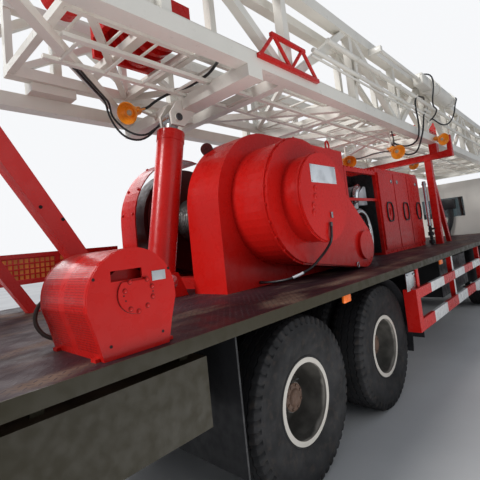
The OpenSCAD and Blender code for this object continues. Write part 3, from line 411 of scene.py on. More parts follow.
def finishes():
    """All materials by name, made once."""
    if finishes.made:
        return finishes.made
    tones = bpy.context.scene.rig_colours
    red, ivory = tuple(tones.red), tuple(tones.ivory)
    finishes.made = {
        "red": plain_enamel("red_enamel", red),
        "skirt": perforated_enamel("perforated_red_enamel", red),
        "ivory": plain_enamel("ivory_enamel", ivory, gloss=0.34, coat=0.15, dusty=0.2),
        "deck": chequer_plate("chequer_plate", tuple(tones.deck)),
        "edge": edge_paint("olive_enamel", tuple(tones.edge), tuple(tones.black)),
        "black": plain_enamel("chassis_black", tuple(tones.black), gloss=0.5, coat=0.05, dusty=0.35),
        "rubber": rubber("tyre_rubber", tuple(tones.rubber)),
        "rim": rim_with_painted_shade("rim_enamel", tuple(tones.rim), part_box("rim_1_right")[0].y * -1),
        "rim_twin": rim_with_painted_shade("twin_rim_enamel", tuple(tones.rim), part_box("rim_3_right")[0].y * -1),
        "steel": bare_metal("worked_steel", tuple(tones.steel)),
        "chrome": bare_metal("plated_steel", (0.72, 0.73, 0.74), 0.14),
        "rust": moulded("rusted_nuts", (0.10, 0.055, 0.035), 0.7, 120),
        "glass": clear_glass("cab_glass"),
        "amber": moulded("amber_enamel", tuple(tones.amber), 0.32, 90),
        "guard": banded_enamel("banded_enamel", red, (0.74, 0.74, 0.73), at(0.98, 0, 0).x, 0.52),
        "drum": plain_enamel("oily_drum", (0.075, 0.008, 0.007), gloss=0.4, coat=0.05, dusty=0.2),
        "old_hose": moulded("weathered_hose", (0.055, 0.040, 0.031), 0.6, 120),
        "netting": moulded("orange_netting", (0.80, 0.27, 0.04), 0.5, 120),
        "marker": moulded("marker_lens", (0.90, 0.17, 0.012), 0.25, 60, 0.05),
        "dull": bare_metal("dull_fittings", (0.17, 0.17, 0.175), 0.5),
        "lamp_glass": moulded("floodlight_glass", (0.42, 0.36, 0.25), 0.2, 60),
        "hose": moulded("hose_rubber", tuple(tones.hose), 0.42, 160),
        # Near black: the grille's mesh, and painted shade in holes and at the back of the engine bay.
        "dark": moulded("black_and_painted_shade", (0.006, 0.006, 0.007), 0.8, 60),
        "white": moulded("white_film", (0.60, 0.63, 0.66), 0.4, 140),
        "plate": moulded("blank_plate", (0.42, 0.44, 0.45), 0.35, 90),
        "lens": moulded("lamp_lens", (0.80, 0.78, 0.70), 0.12, 40, 0.05),
        "stop": moulded("stop_lens", (0.45, 0.01, 0.01), 0.15, 40, 0.05),
        "rope": bare_metal("wire_rope", (0.26, 0.25, 0.24), 0.5),
    }
    return finishes.made


finishes.made = {}


# Mesh building


class Shape:
    """Collects the faces of one piece."""

    def __init__(self):
        self.mesh = bmesh.new()

    def keep(self, made, move):
        """Places new vertices."""
        bmesh.ops.transform(self.mesh, matrix=move, verts=made)

    def block(self, low, high, bevel=0.004, turn=0.0, tilt=0.0):
        """Box between two corners with rounded edges, turned about Z and tilted about Y
        through its middle.
        """
        low, high = Vector(low), Vector(high)
        made = bmesh.ops.create_cube(self.mesh, size=1)["verts"]
        size = Matrix.Diagonal((*(high - low), 1))
        spin = Matrix.Rotation(turn, 4, "Z") @ Matrix.Rotation(tilt, 4, "Y")
        self.keep(made, Matrix.Translation((low + high) / 2) @ spin @ size)
        if bevel:
            edges = list({edge for vert in made for edge in vert.link_edges})
            bmesh.ops.bevel(
                self.mesh, geom=edges, offset=bevel, segments=2, profile=0.5, affect="EDGES",
                clamp_overlap=True
            )
        return self

    def lathe(self, profile, origin, axis, sides=24):
        """Turns (radius, height) pairs round an axis through a point."""
        axis = Vector(axis).normalized()
        turn = axis.to_track_quat("Z", "Y").to_matrix().to_4x4()
        place = Matrix.Translation(origin) @ turn
        rings = []
        for radius, height in profile:
            if radius < 1e-6:
                rings.append([self.mesh.verts.new(place @ Vector((0, 0, height)))])
                continue
            rings.append([
                self.mesh.verts.new(
                    place @ Vector((
                        radius * math.cos(2 * math.pi * i / sides),
                        radius * math.sin(2 * math.pi * i / sides), height
                    ))
                )
                for i in range(sides)
            ])
        for below, above in zip(rings, rings[1:]):
            for i in range(sides):
                k = (i + 1) % sides
                corners = [below[i % len(below)], below[k % len(below)], above[k % len(above)],
                           above[i % len(above)]]
                corners = list(dict.fromkeys(corners))
                if len(corners) > 2:
                    self.mesh.faces.new(corners)
        return self

    def rod(self, start, end, radius, sides=16, tip=None, round_end=0.15):
        """Round bar between two points with a small chamfer at both ends."""
        start, end = Vector(start), Vector(end)
        span = (end - start).length
        cut = min(radius * round_end, span / 4)
        last = radius if tip is None else tip
        profile = [(0, 0), (radius - cut, 0), (radius, cut), (last, span - cut), (last - cut, span),
                   (0, span)]
        return self.lathe(profile, start, end - start, sides)

    def bolt(self, place, axis, across=0.024, height=None):
        """Hexagon head on its washer."""
        high = height or across * 0.45
        self.lathe([(across * 0.72, 0), (across * 0.72, high * 0.25), (0, high * 0.25)], place, axis, 16)
        cap = [(across * 0.577, high * 0.2), (across * 0.577, high * 0.85), (across * 0.45, high),
               (0, high)]
        return self.lathe(cap, place, axis, 6)

    def plate(self, outline, y0, y1, bevel=0.003):
        """Plate from an outline of (x, z) points between two planes across the rig."""
        made = [self.mesh.verts.new((x, y, z)) for y in (y0, y1) for x, z in outline]
        count = len(outline)
        self.mesh.faces.new(made[:count])
        self.mesh.faces.new(made[count:][::-1])
        for i in range(count):
            k = (i + 1) % count
            self.mesh.faces.new([made[k], made[i], made[count + i], made[count + k]])
        if bevel:
            edges = list({edge for vert in made for edge in vert.link_edges})
            bmesh.ops.bevel(
                self.mesh, geom=edges, offset=bevel, segments=2, profile=0.5, affect="EDGES",
                clamp_overlap=True
            )
        return self

    def sweep(self, points, radius, sides=10, closed=False):
        """Tube along a line of points, with flat ends."""
        points = [Vector(p) for p in points]
        count = len(points)
        rings = []
        side = None
        for i, point in enumerate(points):
            before = points[i - 1] if (i or closed) else point
            after = points[(i + 1) % count] if (i + 1 < count or closed) else point
            way = (after - before).normalized()
            if side is None:
                side = way.orthogonal().normalized()
            side = (side - way * side.dot(way)).normalized()
            other = way.cross(side)
            size = radius[i] if isinstance(radius, (list, tuple)) else radius
            rings.append([
                self.mesh.verts.new(point + size * (math.cos(turn) * side + math.sin(turn) * other))
                for turn in turns(sides)
            ])
        pairs = list(zip(rings, rings[1:])) + ([(rings[-1], rings[0])] if closed else [])
        for below, above in pairs:
            for k in range(sides):
                self.mesh.faces.new([below[k], below[(k + 1) % sides], above[(k + 1) % sides], above[k]])
        if not closed:
            self.mesh.faces.new(rings[0][::-1])
            self.mesh.faces.new(rings[-1])
        return self

    def done(self, name, finish, body, slot=None, smooth=35):
        """Makes the object, rides it on its body and returns it."""
        bmesh.ops.recalc_face_normals(self.mesh, faces=self.mesh.faces)
        data = bpy.data.meshes.new(name)
        self.mesh.to_mesh(data)
        self.mesh.free()
        data.materials.append(finishes()[finish])
        data.shade_smooth()
        piece = bpy.data.objects.new(name, data)
        bpy.context.scene.collection.objects.link(piece)
        data.set_sharp_from_angle(angle=math.radians(smooth))
        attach(piece, body)
        return piece


def smooth_line(points, steps=6):
    """Curve through points, by Catmull and Rom's rule."""
    points = [Vector(p) for p in points]
    padded = [2 * points[0] - points[1], *points, 2 * points[-1] - points[-2]]
    line = []
    for before, start, end, after in zip(padded, padded[1:], padded[2:], padded[3:]):
        for k in range(steps):
            t = k / steps
            line.append(
                0.5 * (2 * start + (end - before) * t + (2 * before - 5 * start + 4 * end - after) * t**2
                       + (3 * start - before - 3 * end + after) * t**3)
            )
    return [*line, points[-1]]


def turns(count):
    """Angles spaced evenly round a circle."""
    return [2 * math.pi * k / count for k in range(count)]


def line_length(points):
    """Length along a line of points."""
    return sum((b - a).length for a, b in zip(points, points[1:]))


def evenly(points, count):
    """The same line with its points a constant step apart."""
    step = line_length(points) / (count - 1)
    line, gone, due = [points[0]], 0.0, step
    for a, b in zip(points, points[1:]):
        span = (b - a).length
        while due <= gone + span and len(line) < count - 1:
            line.append(a.lerp(b, (due - gone) / span))
            due += step
        gone += span
    return [*line, points[-1]]


def hose(name, body, points, diameter, finish, tape, far):
    """Hose between two fittings on the rig."""
    line = evenly(smooth_line([at(*p) for p in points], 16), 40)
    tube = Shape().sweep(line, diameter / 2, 12).done(name, finish, body)
    crimps = Shape()
    for a, b in ((line[0], line[2]), (line[-1], line[-3])):
        out = diameter * 0.62
        crimps.lathe(
            [(0, 0), (out * 0.9, 0), (out, diameter * 0.2), (out, diameter * 1.3),
             (out * 0.85, diameter * 1.5), (diameter * 0.51, diameter * 1.6)], a, b - a, 12
        )
    fittings = [crimps.done(name + "_ends", "dull", body)]
    if tape:
        wrap = line[round(tape[0] * 39) : round(tape[1] * 39) + 1]
        fittings.append(Shape().sweep(wrap, diameter * 0.53, 14).done(name + "_tape", "white", body))
    return tube


# Operators


class RigStage(bpy.types.Operator):
    """Camera at the photograph's angle, pale floor and soft light"""

    bl_idname = "rig.stage"
    bl_label = "Stage"

    def execute(self, context):
        scene = context.scene
        scene.view_settings.view_transform = "Standard"
        self.camera(scene)
        self.floor()
        self.lights(scene)
        return {"FINISHED"}

    def camera(self, scene):
        """The camera stands low beside the rear corner and looks forward along the deck."""
        focus, frame_px, centre_px = 370.9, 480, (240, 213)
        yaw, pitch, roll = (math.radians(a) for a in (42.663, 4.529, 6.065))
        ahead = Vector((math.cos(pitch) * math.cos(yaw), math.cos(pitch) * math.sin(yaw), math.sin(pitch)))
        right = ahead.cross((0, 0, 1)).normalized()
        up = right.cross(ahead)
        right, up = (
            math.cos(roll) * right - math.sin(roll) * up,
            math.sin(roll) * right + math.cos(roll) * up,
        )
        data = bpy.data.cameras.new("camera")
        data.sensor_width = 36
        data.lens = 36 * focus / frame_px
        data.shift_x = (frame_px / 2 - centre_px[0]) / frame_px
        data.shift_y = (centre_px[1] - frame_px / 2) / frame_px
        data.clip_start, data.clip_end = 0.05, 300
        camera = bpy.data.objects.new("camera", data)
        turn = Matrix((right, up, -ahead)).transposed().to_4x4()
        camera.matrix_world = Matrix.Translation(at(-3.477, -2.749, 1.665)) @ turn
        scene.collection.objects.link(camera)
        scene.camera = camera

    def floor(self):
        """Pale ground under the wheels."""
        ground = Finish("pale_floor", Roughness=0.9)
        tone = ground.mix(ground.fit(ground.noise(0.6, 5), 0.35, 0.65), (0.60, 0.60, 0.60),
                          (0.68, 0.68, 0.675))
        ground.end(Base_Color=tone, Normal=ground.bump(ground.noise(40, 4), 0.002, 0.3))
        mesh = bpy.data.meshes.new("floor")
        far = 90
        mesh.from_pydata([(-far, -far, 0), (far, -far, 0), (far, far, 0), (-far, far, 0)], [],
                         [(0, 1, 2, 3)])
        mesh.materials.append(ground.material)
        plane = bpy.data.objects.new("floor", mesh)
        bpy.context.scene.collection.objects.link(plane)

    def lights(self, scene):
        """Even soft light from behind, the near side and the far side, a low lift and a pale sky."""
        key = scene.rig_sizes.key_light
        for name, kind, place, target, spread, power in (
            ("key", "SUN", (-10.5, 2.5, 8.5), (0.5, 0, 1.8), 0.30, key),
            ("fill", "SUN", (5, -13, 6), (3, 0, 1.5), 0.64, key * 0.14),
            ("back", "SUN", (2, 13, 9), (1, 0, 2), 0.62, key * 0.34),
            ("lift", "AREA", (-1.0, -3.6, 0.02), (-1.0, -3.6, 3.0), 4.0, key * 32),
        ):
            data = bpy.data.lights.new(name, kind)
            if kind == "SUN":
                data.angle = spread
            else:
                data.shape = "DISK"
                data.size = spread
            data.energy = power
            lamp = bpy.data.objects.new(name, data)
            lamp.location = at(*place)
            lamp.rotation_euler = (at(*target) - at(*place)).to_track_quat("-Z", "Y").to_euler()
            lamp.visible_camera = False
            scene.collection.objects.link(lamp)
        world = bpy.data.worlds.new("pale_sky")
        world.use_nodes = True
        tree = world.node_tree
        sky = tree.nodes["Background"]
        sky.inputs["Color"].default_value = (0.80, 0.86, 0.95, 1)
        sky.inputs["Strength"].default_value = 0.38
        seen = tree.nodes.new("ShaderNodeBackground")
        seen.inputs["Color"].default_value = (0.93, 0.94, 0.96, 1)
        seen.inputs["Strength"].default_value = 1.0
        rays = tree.nodes.new("ShaderNodeLightPath")
        either = tree.nodes.new("ShaderNodeMath")
        either.operation = "MAXIMUM"
        blend = tree.nodes.new("ShaderNodeMixShader")
        links = tree.links
        links.new(rays.outputs["Is Camera Ray"], either.inputs[0])
        links.new(rays.outputs["Is Transmission Ray"], either.inputs[1])
        links.new(either.outputs["Value"], blend.inputs["Fac"])
        links.new(sky.outputs["Background"], blend.inputs[1])
        links.new(seen.outputs["Background"], blend.inputs[2])
        links.new(blend.outputs["Shader"], tree.nodes["World Output"].inputs["Surface"])
        scene.world = world


class RigPaint(bpy.types.Operator):
    """Gives each solid its finish"""

    bl_idname = "rig.paint"
    bl_label = "Paint"

    by_slot = {
        "red_paint": "red", "ivory_paint": "ivory", "deck_plate": "deck", "olive_paint": "edge",
        "black_steel": "black", "tyre_rubber": "rubber", "rim_paint": "rim", "bare_steel": "steel",
        "window_glass": "glass",
    }
    by_node = {"brake_housing": "skirt", "drum": "drum", "side_guards": "guard"}

    def execute(self, context):
        for part in frame["record"]["subparts"]:
            name = part["node"]
            finish = self.by_node.get(name) or self.by_slot[part["material_slot"]]
            if name.startswith(("rim_3", "rim_4")):
                finish = "rim_twin"
            data = nodes[name].data
            data.materials.clear()
            data.materials.append(finishes()[finish])
            for polygon in data.polygons:
                polygon.material_index = 0
        return {"FINISHED"}


# Routes of the hoses and cables: body, diameter, finish, the share of the length
# where tape starts and ends, far end, points
hose_routes = {
    "drawworks_hose": ("carrier", 0.022, "hose", (0.565, 0.66), "object", [
        (-0.686, -1.196, 1.754), (-0.694, -1.198, 1.715), (-0.706, -1.200, 1.672), (-0.711, -1.196, 1.622),
        (-0.702, -1.168, 1.575), (-0.700, -1.115, 1.515), (-0.715, -1.065, 1.462), (-0.755, -1.035, 1.418),
        (-0.812, -1.008, 1.382), (-0.880, -0.950, 1.345), (-0.940, -0.870, 1.318), (-0.972, -0.760, 1.304),
        (-0.985, -0.680, 1.300), (-0.985, -0.604, 1.300)]),
    "brake_hose": ("carrier", 0.020, "old_hose", None, "object", [
        (-2.765, -0.862, 1.512), (-2.785, -0.850, 1.510), (-2.804, -0.838, 1.503),
        (-2.821, -0.827, 1.492), (-2.836, -0.817, 1.477), (-2.847, -0.810, 1.460),
        (-2.855, -0.805, 1.439), (-2.859, -0.802, 1.418), (-2.859, -0.802, 1.396),
        (-2.855, -0.805, 1.375), (-2.847, -0.810, 1.355), (-2.836, -0.817, 1.337),
        (-2.821, -0.827, 1.322), (-2.804, -0.838, 1.311), (-2.785, -0.850, 1.304),
        (-2.765, -0.862, 1.302)]),
    "unit_hose_front": ("lower_mast", 0.026, "hose", None, "object", [
        (3.575, -0.938, 3.830), (3.465, -0.965, 3.831), (3.350, -0.973, 3.814), (3.235, -0.978, 3.794),
        (3.120, -0.983, 3.771), (3.009, -0.990, 3.737), (2.904, -0.998, 3.685), (2.814, -1.005, 3.612),
        (2.773, -1.010, 3.505), (2.787, -1.010, 3.390), (2.810, -1.009, 3.275), (2.818, -0.999, 3.159),
        (2.850, -0.968, 3.054), (2.925, -0.900, 3.000), (2.986, -0.804, 2.975), (3.027, -0.696, 2.985),
        (3.047, -0.590, 3.029), (3.050, -0.494, 3.095)]),
    "unit_hose_lamp": ("lower_mast", 0.026, "hose", None, "object", [
        (3.575, -0.936, 3.620), (3.479, -0.962, 3.595), (3.383, -0.976, 3.555), (3.289, -0.988, 3.510),
        (3.201, -0.998, 3.454), (3.130, -1.005, 3.378), (3.072, -1.009, 3.291), (3.013, -1.010, 3.204),
        (2.949, -1.010, 3.121), (2.893, -0.999, 3.034), (2.875, -0.968, 2.937), (2.917, -0.911, 2.863),
        (2.977, -0.836, 2.823), (3.014, -0.739, 2.824), (3.039, -0.648, 2.868), (3.056, -0.574, 2.939),
        (3.066, -0.507, 3.020), (3.070, -0.440, 3.100)]),
    "unit_hose_upper": ("lower_mast", 0.024, "hose", None, "object", [
        (3.590, -0.945, 3.420), (3.625, -1.007, 3.467), (3.608, -1.070, 3.518), (3.543, -1.113, 3.554),
        (3.463, -1.137, 3.568), (3.378, -1.148, 3.564), (3.292, -1.157, 3.556), (3.207, -1.166, 3.549),
        (3.123, -1.179, 3.559), (3.049, -1.197, 3.596), (3.012, -1.218, 3.668), (3.015, -1.236, 3.752),
        (3.038, -1.245, 3.834), (3.061, -1.243, 3.917), (3.089, -1.228, 3.997), (3.120, -1.188, 4.065),
        (3.138, -1.117, 4.108), (3.140, -1.032, 4.117), (3.140, -0.946, 4.112)]),
    "unit_hose_end": ("lower_mast", 0.024, "hose", None, "object", [
        (3.605, -0.945, 3.500), (3.680, -1.002, 3.477), (3.761, -1.036, 3.436), (3.825, -1.084, 3.382),
        (3.917, -1.115, 3.374), (4.009, -1.145, 3.393), (4.092, -1.174, 3.435), (4.172, -1.193, 3.490),
        (4.239, -1.212, 3.558), (4.269, -1.238, 3.647), (4.283, -1.256, 3.741), (4.352, -1.256, 3.809),
        (4.436, -1.252, 3.860), (4.521, -1.246, 3.909), (4.606, -1.237, 3.958), (4.686, -1.211, 4.008),
        (4.735, -1.138, 4.047), (4.750, -1.045, 4.072), (4.750, -0.947, 4.080)]),
    "lamp_cable_1": ("lower_mast", 0.028, "hose", None, "fitting", [
        (-1.360, -0.838, 3.200), (-1.331, -0.763, 3.205), (-1.289, -0.694, 3.217),
        (-1.251, -0.624, 3.226), (-1.215, -0.551, 3.232), (-1.189, -0.475, 3.226),
        (-1.168, -0.396, 3.224), (-1.158, -0.316, 3.223), (-1.160, -0.235, 3.219),
        (-1.162, -0.154, 3.216), (-1.166, -0.073, 3.221), (-1.180, 0.006, 3.232), (-1.202, 0.084, 3.226),
        (-1.213, 0.164, 3.224), (-1.246, 0.235, 3.206), (-1.294, 0.287, 3.168), (-1.348, 0.319, 3.117),
        (-1.417, 0.347, 3.087)]),
    "lamp_cable_2": ("lower_mast", 0.018, "hose", None, "fitting", [
        (2.190, -0.790, 3.085), (2.195, -0.797, 3.007), (2.215, -0.796, 2.931), (2.239, -0.772, 2.860),
        (2.272, -0.713, 2.822), (2.313, -0.647, 2.826), (2.355, -0.582, 2.840), (2.395, -0.515, 2.854),
        (2.434, -0.447, 2.865), (2.469, -0.378, 2.874), (2.501, -0.306, 2.877), (2.527, -0.231, 2.873),
        (2.548, -0.156, 2.870), (2.534, -0.080, 2.868), (2.472, -0.035, 2.867), (2.396, -0.014, 2.865),
        (2.319, 0.003, 2.862), (2.242, 0.021, 2.860)]),
    "eye_cable_near": ("lower_mast", 0.020, "hose", None, "object", [
        (-2.269, -0.100, 3.102), (-2.205, -0.039, 3.102), (-2.142, 0.022, 3.101), (-2.078, 0.083, 3.101),
        (-2.015, 0.145, 3.101), (-1.951, 0.205, 3.101), (-1.887, 0.266, 3.101), (-1.823, 0.328, 3.102),
        (-1.763, 0.388, 3.087), (-1.726, 0.424, 3.019), (-1.696, 0.416, 2.937), (-1.666, 0.386, 2.860),
        (-1.634, 0.339, 2.792), (-1.588, 0.283, 2.745), (-1.521, 0.228, 2.735), (-1.455, 0.183, 2.771),
        (-1.402, 0.150, 2.833), (-1.350, 0.120, 2.895)]),
    "eye_cable_far": ("lower_mast", 0.020, "hose", None, "object", [
        (-2.235, -0.105, 3.102), (-2.175, -0.048, 3.102), (-2.116, 0.010, 3.101), (-2.056, 0.067, 3.101),
        (-1.996, 0.125, 3.101), (-1.936, 0.182, 3.101), (-1.876, 0.239, 3.101), (-1.816, 0.297, 3.101),
        (-1.757, 0.354, 3.100), (-1.710, 0.415, 3.074), (-1.674, 0.450, 3.010), (-1.635, 0.427, 2.941),
        (-1.596, 0.388, 2.880), (-1.557, 0.335, 2.830), (-1.514, 0.273, 2.795), (-1.461, 0.212, 2.791),
        (-1.405, 0.169, 2.832), (-1.350, 0.130, 2.880)]),
}


class RigHoses(bpy.types.Operator):
    """Hoses and cables that hang between their fittings"""

    bl_idname = "rig.hoses"
    bl_label = "Hoses"

    def execute(self, context):
        for name, (body, diameter, finish, tape, far, points) in hose_routes.items():
            hose(name, body, points, diameter, finish, tape, far)
        return {"FINISHED"}


class RigTyres(bpy.types.Operator):
    """Tyres with lugs, grooves and ribbed walls, in place of the plain ones"""

    bl_idname = "rig.tyres"
    bl_label = "Tyres"

    def execute(self, context):
        sizes = context.scene.rig_sizes
        low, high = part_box("tyre_1_right")
        rim_low, rim_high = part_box("rim_1_right")
        self.width = high.y - low.y
        self.radius = (high.z - low.z) / 2
        self.bore = (rim_high.z - rim_low.z) / 2 - 0.011
        self.mesh = self.ring(sizes.tread, sizes.lugs)
        for name in sorted(nodes):
            if name.startswith("tyre_"):
                self.fit_tyre(name)
        return {"FINISHED"}

    def section(self, groove, notch, wave):
        """Outline across the tread as (y, radius) pairs, from one bead to the other."""
        w, r = self.width / 2, self.radius
        wall = [(0.74, self.bore), (0.84, self.bore + 0.004), (0.86, self.bore + 0.022),
                (0.84, self.bore + 0.028), (0.93, self.bore + 0.075), (0.99, self.bore + 0.125),
                (1.0, self.bore + 0.155), (0.985, r - 0.098), (0.965, r - 0.092), (0.965, r - 0.084),
                (0.95, r - 0.078)]
        shoulder = [(0.93, r - 0.062), (0.92 - notch * 0.06, r - 0.050 - notch * 0.010),
                    (0.85, r - 0.012 - notch * 0.018), (0.80, r - 0.006 - notch * 0.014)]
        left = [(-a * w, b) for a, b in wall + shoulder]
        right = [(a * w, b) for a, b in reversed(wall + shoulder)]
        tread = []
        for centre in (-0.56, -0.19, 0.19, 0.56):
            mid = centre * w + wave * 0.006
            crown = r - 0.004 * centre * centre
            tread += [(mid - 0.0065, crown), (mid - 0.0035, crown - groove), (mid + 0.0035, crown - groove),
                      (mid + 0.0065, crown)]
        return left + tread + right

    def ring(self, groove, lugs):
        """One tyre round the Y axis, at the origin."""
        per_lug = ((0, -1), (0, 0), (0, 1), (1, 0.3))
        steps = [part for _ in range(lugs) for part in per_lug]
        tyre = bmesh.new()
        rings = []
        for i, (notch, wave) in enumerate(steps):
            turn = 2 * math.pi * i / len(steps)
            points = self.section(groove, notch, wave)
            rings.append([tyre.verts.new((r * math.cos(turn), y, r * math.sin(turn))) for y, r in points])
        for before, after in zip(rings, rings[1:] + rings[:1]):
            for k in range(len(before)):
                n = (k + 1) % len(before)
                tyre.faces.new([before[k], after[k], after[n], before[n]])
        bmesh.ops.recalc_face_normals(tyre, faces=tyre.faces)
        mesh = bpy.data.meshes.new("tyre")
        tyre.to_mesh(mesh)
        tyre.free()
        mesh.materials.append(finishes()["rubber"])
        mesh.shade_smooth()
        mesh.set_sharp_from_angle(angle=math.radians(32))
        return mesh

    def fit_tyre(self, name):
        """Stands one tyre, or two for a twin wheel, where the node is."""
        low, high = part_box(name)
        centre = (low + high) / 2
        twin = high.y - low.y > self.width * 1.5
        ys = (low.y + self.width / 2, high.y - self.width / 2) if twin else (centre.y,)
        body = "wheel_" + name.split("_", 1)[1]
        for i, y in enumerate(ys):
            piece = bpy.data.objects.new(f"{name}_tread_{i + 1}", self.mesh)
            bpy.context.scene.collection.objects.link(piece)
            piece.location = (centre.x, y, centre.z)
            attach(piece, body)
            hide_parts(name)


class RigWheelFittings(bpy.types.Operator):
    """Wheel nuts, hub bolts and tyre valves"""

    bl_idname = "rig.wheel_fittings"
    bl_label = "Wheel fittings"

    # How far a rim's disc and its hub stand out from the rim's middle
    twin_faces = (0.042, 0.19)
    single_faces = (0.032, 0.12)

    def execute(self, context):
        for name in sorted(nodes):
            if not name.startswith("rim_"):
                continue
            low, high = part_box(name)
            centre = (low + high) / 2
            out = 1 if centre.y > 0 else -1
            station = name.split("_", 1)[1]
            body = "wheel_" + station
            disc_out, hub_out = self.twin_faces if station[0] in "34" else self.single_faces
            face, hub = abs(centre.y) + disc_out, abs(centre.y) + hub_out
            self.nuts(f"wheel_nuts_{station}", body, centre, out, face)
            self.hub(f"hub_{station}", body, centre, out, hub)
            self.valve(f"valve_{station}", body, centre, out, face)
        return {"FINISHED"}

    def nuts(self, name, body, centre, out, face):
        """Ring of wheel nuts on the rim's disc."""
        ring = Shape()
        for i in range(10):
            turn = 2 * math.pi * i / 10
            place = (centre.x + 0.131 * math.cos(turn), out * face, centre.z + 0.131 * math.sin(turn))
            ring.bolt(place, (0, out, 0), 0.033, 0.024)
            ring.lathe([(0.011, 0.02), (0.011, 0.038), (0.008, 0.041), (0, 0.041)], place, (0, out, 0), 10)
        ring.done(name, "rust", body, "bare_steel")

    def hub(self, name, body, centre, out, hub):
        """Hub cap in the middle of a wheel."""
        cap = Shape()
        cap.lathe(
            [(0.094, -0.004), (0.094, 0.006), (0.088, 0.010), (0.060, 0.012), (0.052, 0.022),
             (0.045, 0.026), (0, 0.027)],
            (centre.x, out * hub, centre.z), (0, out, 0), 32,
        )
        for i in range(8):
            turn = 2 * math.pi * (i + 0.5) / 8
            place = (centre.x + 0.076 * math.cos(turn), out * (hub + 0.007),
                     centre.z + 0.076 * math.sin(turn))
            cap.bolt(place, (0, out, 0), 0.018, 0.010)
        cap.done(name, "rust", body, "bare_steel")

    def valve(self, name, body, centre, out, face):
        """Tyre valve that stands off the rim."""
        stem = Shape()
        start = Vector((centre.x + 0.20, out * (face - 0.01), centre.z + 0.03))
        stem.sweep(
            smooth_line([start, start + Vector((0.004, out * 0.03, 0)),
                         start + Vector((0.02, out * 0.05, 0.002)),
                         start + Vector((0.035, out * 0.055, 0.004))]), 0.0035, 8
        )
        stem.done(name, "steel", body, "bare_steel")


class RigBrakeFittings(bpy.types.Operator):
    """Bolts, blank plate and rims of the rear brake housing"""

    bl_idname = "rig.brake_fittings"
    bl_label = "Brake fittings"

    def execute(self, context):
        face = brake_low.y
        disc = Shape()
        mid, low_turn, high_turn = at(-2.651, 0, 1.501), 136.5, 403.5
        outline = []
        for k in range(45):
            turn = math.radians(low_turn + (high_turn - low_turn) * k / 44)
            outline.append((mid.x + 0.0785 * math.cos(turn), mid.z + 0.0785 * math.sin(turn)))
        disc.plate(outline, face - 0.0078, face + 0.0061, 0.0013)
        disc.done("brake_cover_disc", "red", "carrier", "red_paint")
        # Painted shade: thin dark rings round the cover disc and round each of its bolts stand for the
        # shade at their edges.
        shade_rings = Shape()
        shade_rings.sweep([Vector((x, face + 0.0004, z)) for x, z in
                    ((mid.x + (a - mid.x) * 1.012, mid.z + (b - mid.z) * 1.012) for a, b in outline)],
                    0.0014, 6)
        ring = Shape()
        for x, z in ((-2.674, 1.552), (-2.593, 1.553), (-2.571, 1.520), (-2.571, 1.477), (-2.599, 1.444),
                     (-2.643, 1.428), (-2.679, 1.443), (-2.699, 1.519)):
            ring.bolt(at(x, face - 0.0078, z), (0, -1, 0), 0.0125, 0.006)
            # Painted shade ring round each bolt.
            shade_rings.lathe([(0.0082, 0), (0.0082, 0.0006), (0.0108, 0.0006), (0.0108, 0)],
                       at(x, face - 0.0077, z), (0, -1, 0), 18)
        ring.done("brake_ring_bolts", "red", "carrier", "red_paint")
        shade_rings.done("brake_painted_shade_rings", "drum", "carrier", "red_paint")
        holes = Shape()
        for x, z in ((-2.823, 1.582), (-2.474, 1.585), (-2.530, 1.319), (-2.771, 1.317)):
            holes.lathe([(0, 0), (0.0062, 0), (0.0062, 0.0012), (0.0048, 0.0012), (0.0044, 0.0004),
                         (0, 0.0004)],
                        at(x, face, z), (0, -1, 0), 16)
        # Painted shade: three small black discs stand for the shade inside small holes in the cover.
        for x, z in ((-2.568, 1.498), (-2.698, 1.479), (-2.705, 1.500)):
            holes.lathe([(0, 0), (0.0036, 0), (0.0034, 0.0005), (0, 0.0005)], at(x, face - 0.0078, z),
                        (0, -1, 0), 10)
        holes.done("brake_plate_screws_and_hole_shades", "dark", "carrier", "black_steel")
        plate = Shape()
        plate.block(at(-2.563, face - 0.0025, 1.541), at(-2.493, face, 1.583), 0.0011)
        for x in (-2.556, -2.500):
            for z in (1.547, 1.577):
                plate.lathe([(0.0022, 0), (0.0018, 0.0012), (0, 0.0016)], at(x, face - 0.0024, z),
                            (0, -1, 0), 8)
        plate.done("brake_blank_plate", "plate", "carrier", "bare_steel")
        # Thin rims where the skirt meets both end plates
        centre = Vector(((brake_low.x + brake_high.x) / 2, 0,
                         brake_high.z - (brake_high.x - brake_low.x) / 2))
        radius = (brake_high.x - brake_low.x) / 2
        rims = Shape()
        for y in (face + 0.010, brake_high.y - 0.010):
            for i in range(30):
                turn = [math.radians(180 * (i + k) / 30) for k in (0, 1)]
                ends = [centre + Vector((radius * math.cos(t), y, radius * math.sin(t))) for t in turn]
                rims.rod(ends[0], ends[1], 0.0022, 6)
        rims.done("brake_skirt_rims", "red", "carrier", "red_paint")
        return {"FINISHED"}


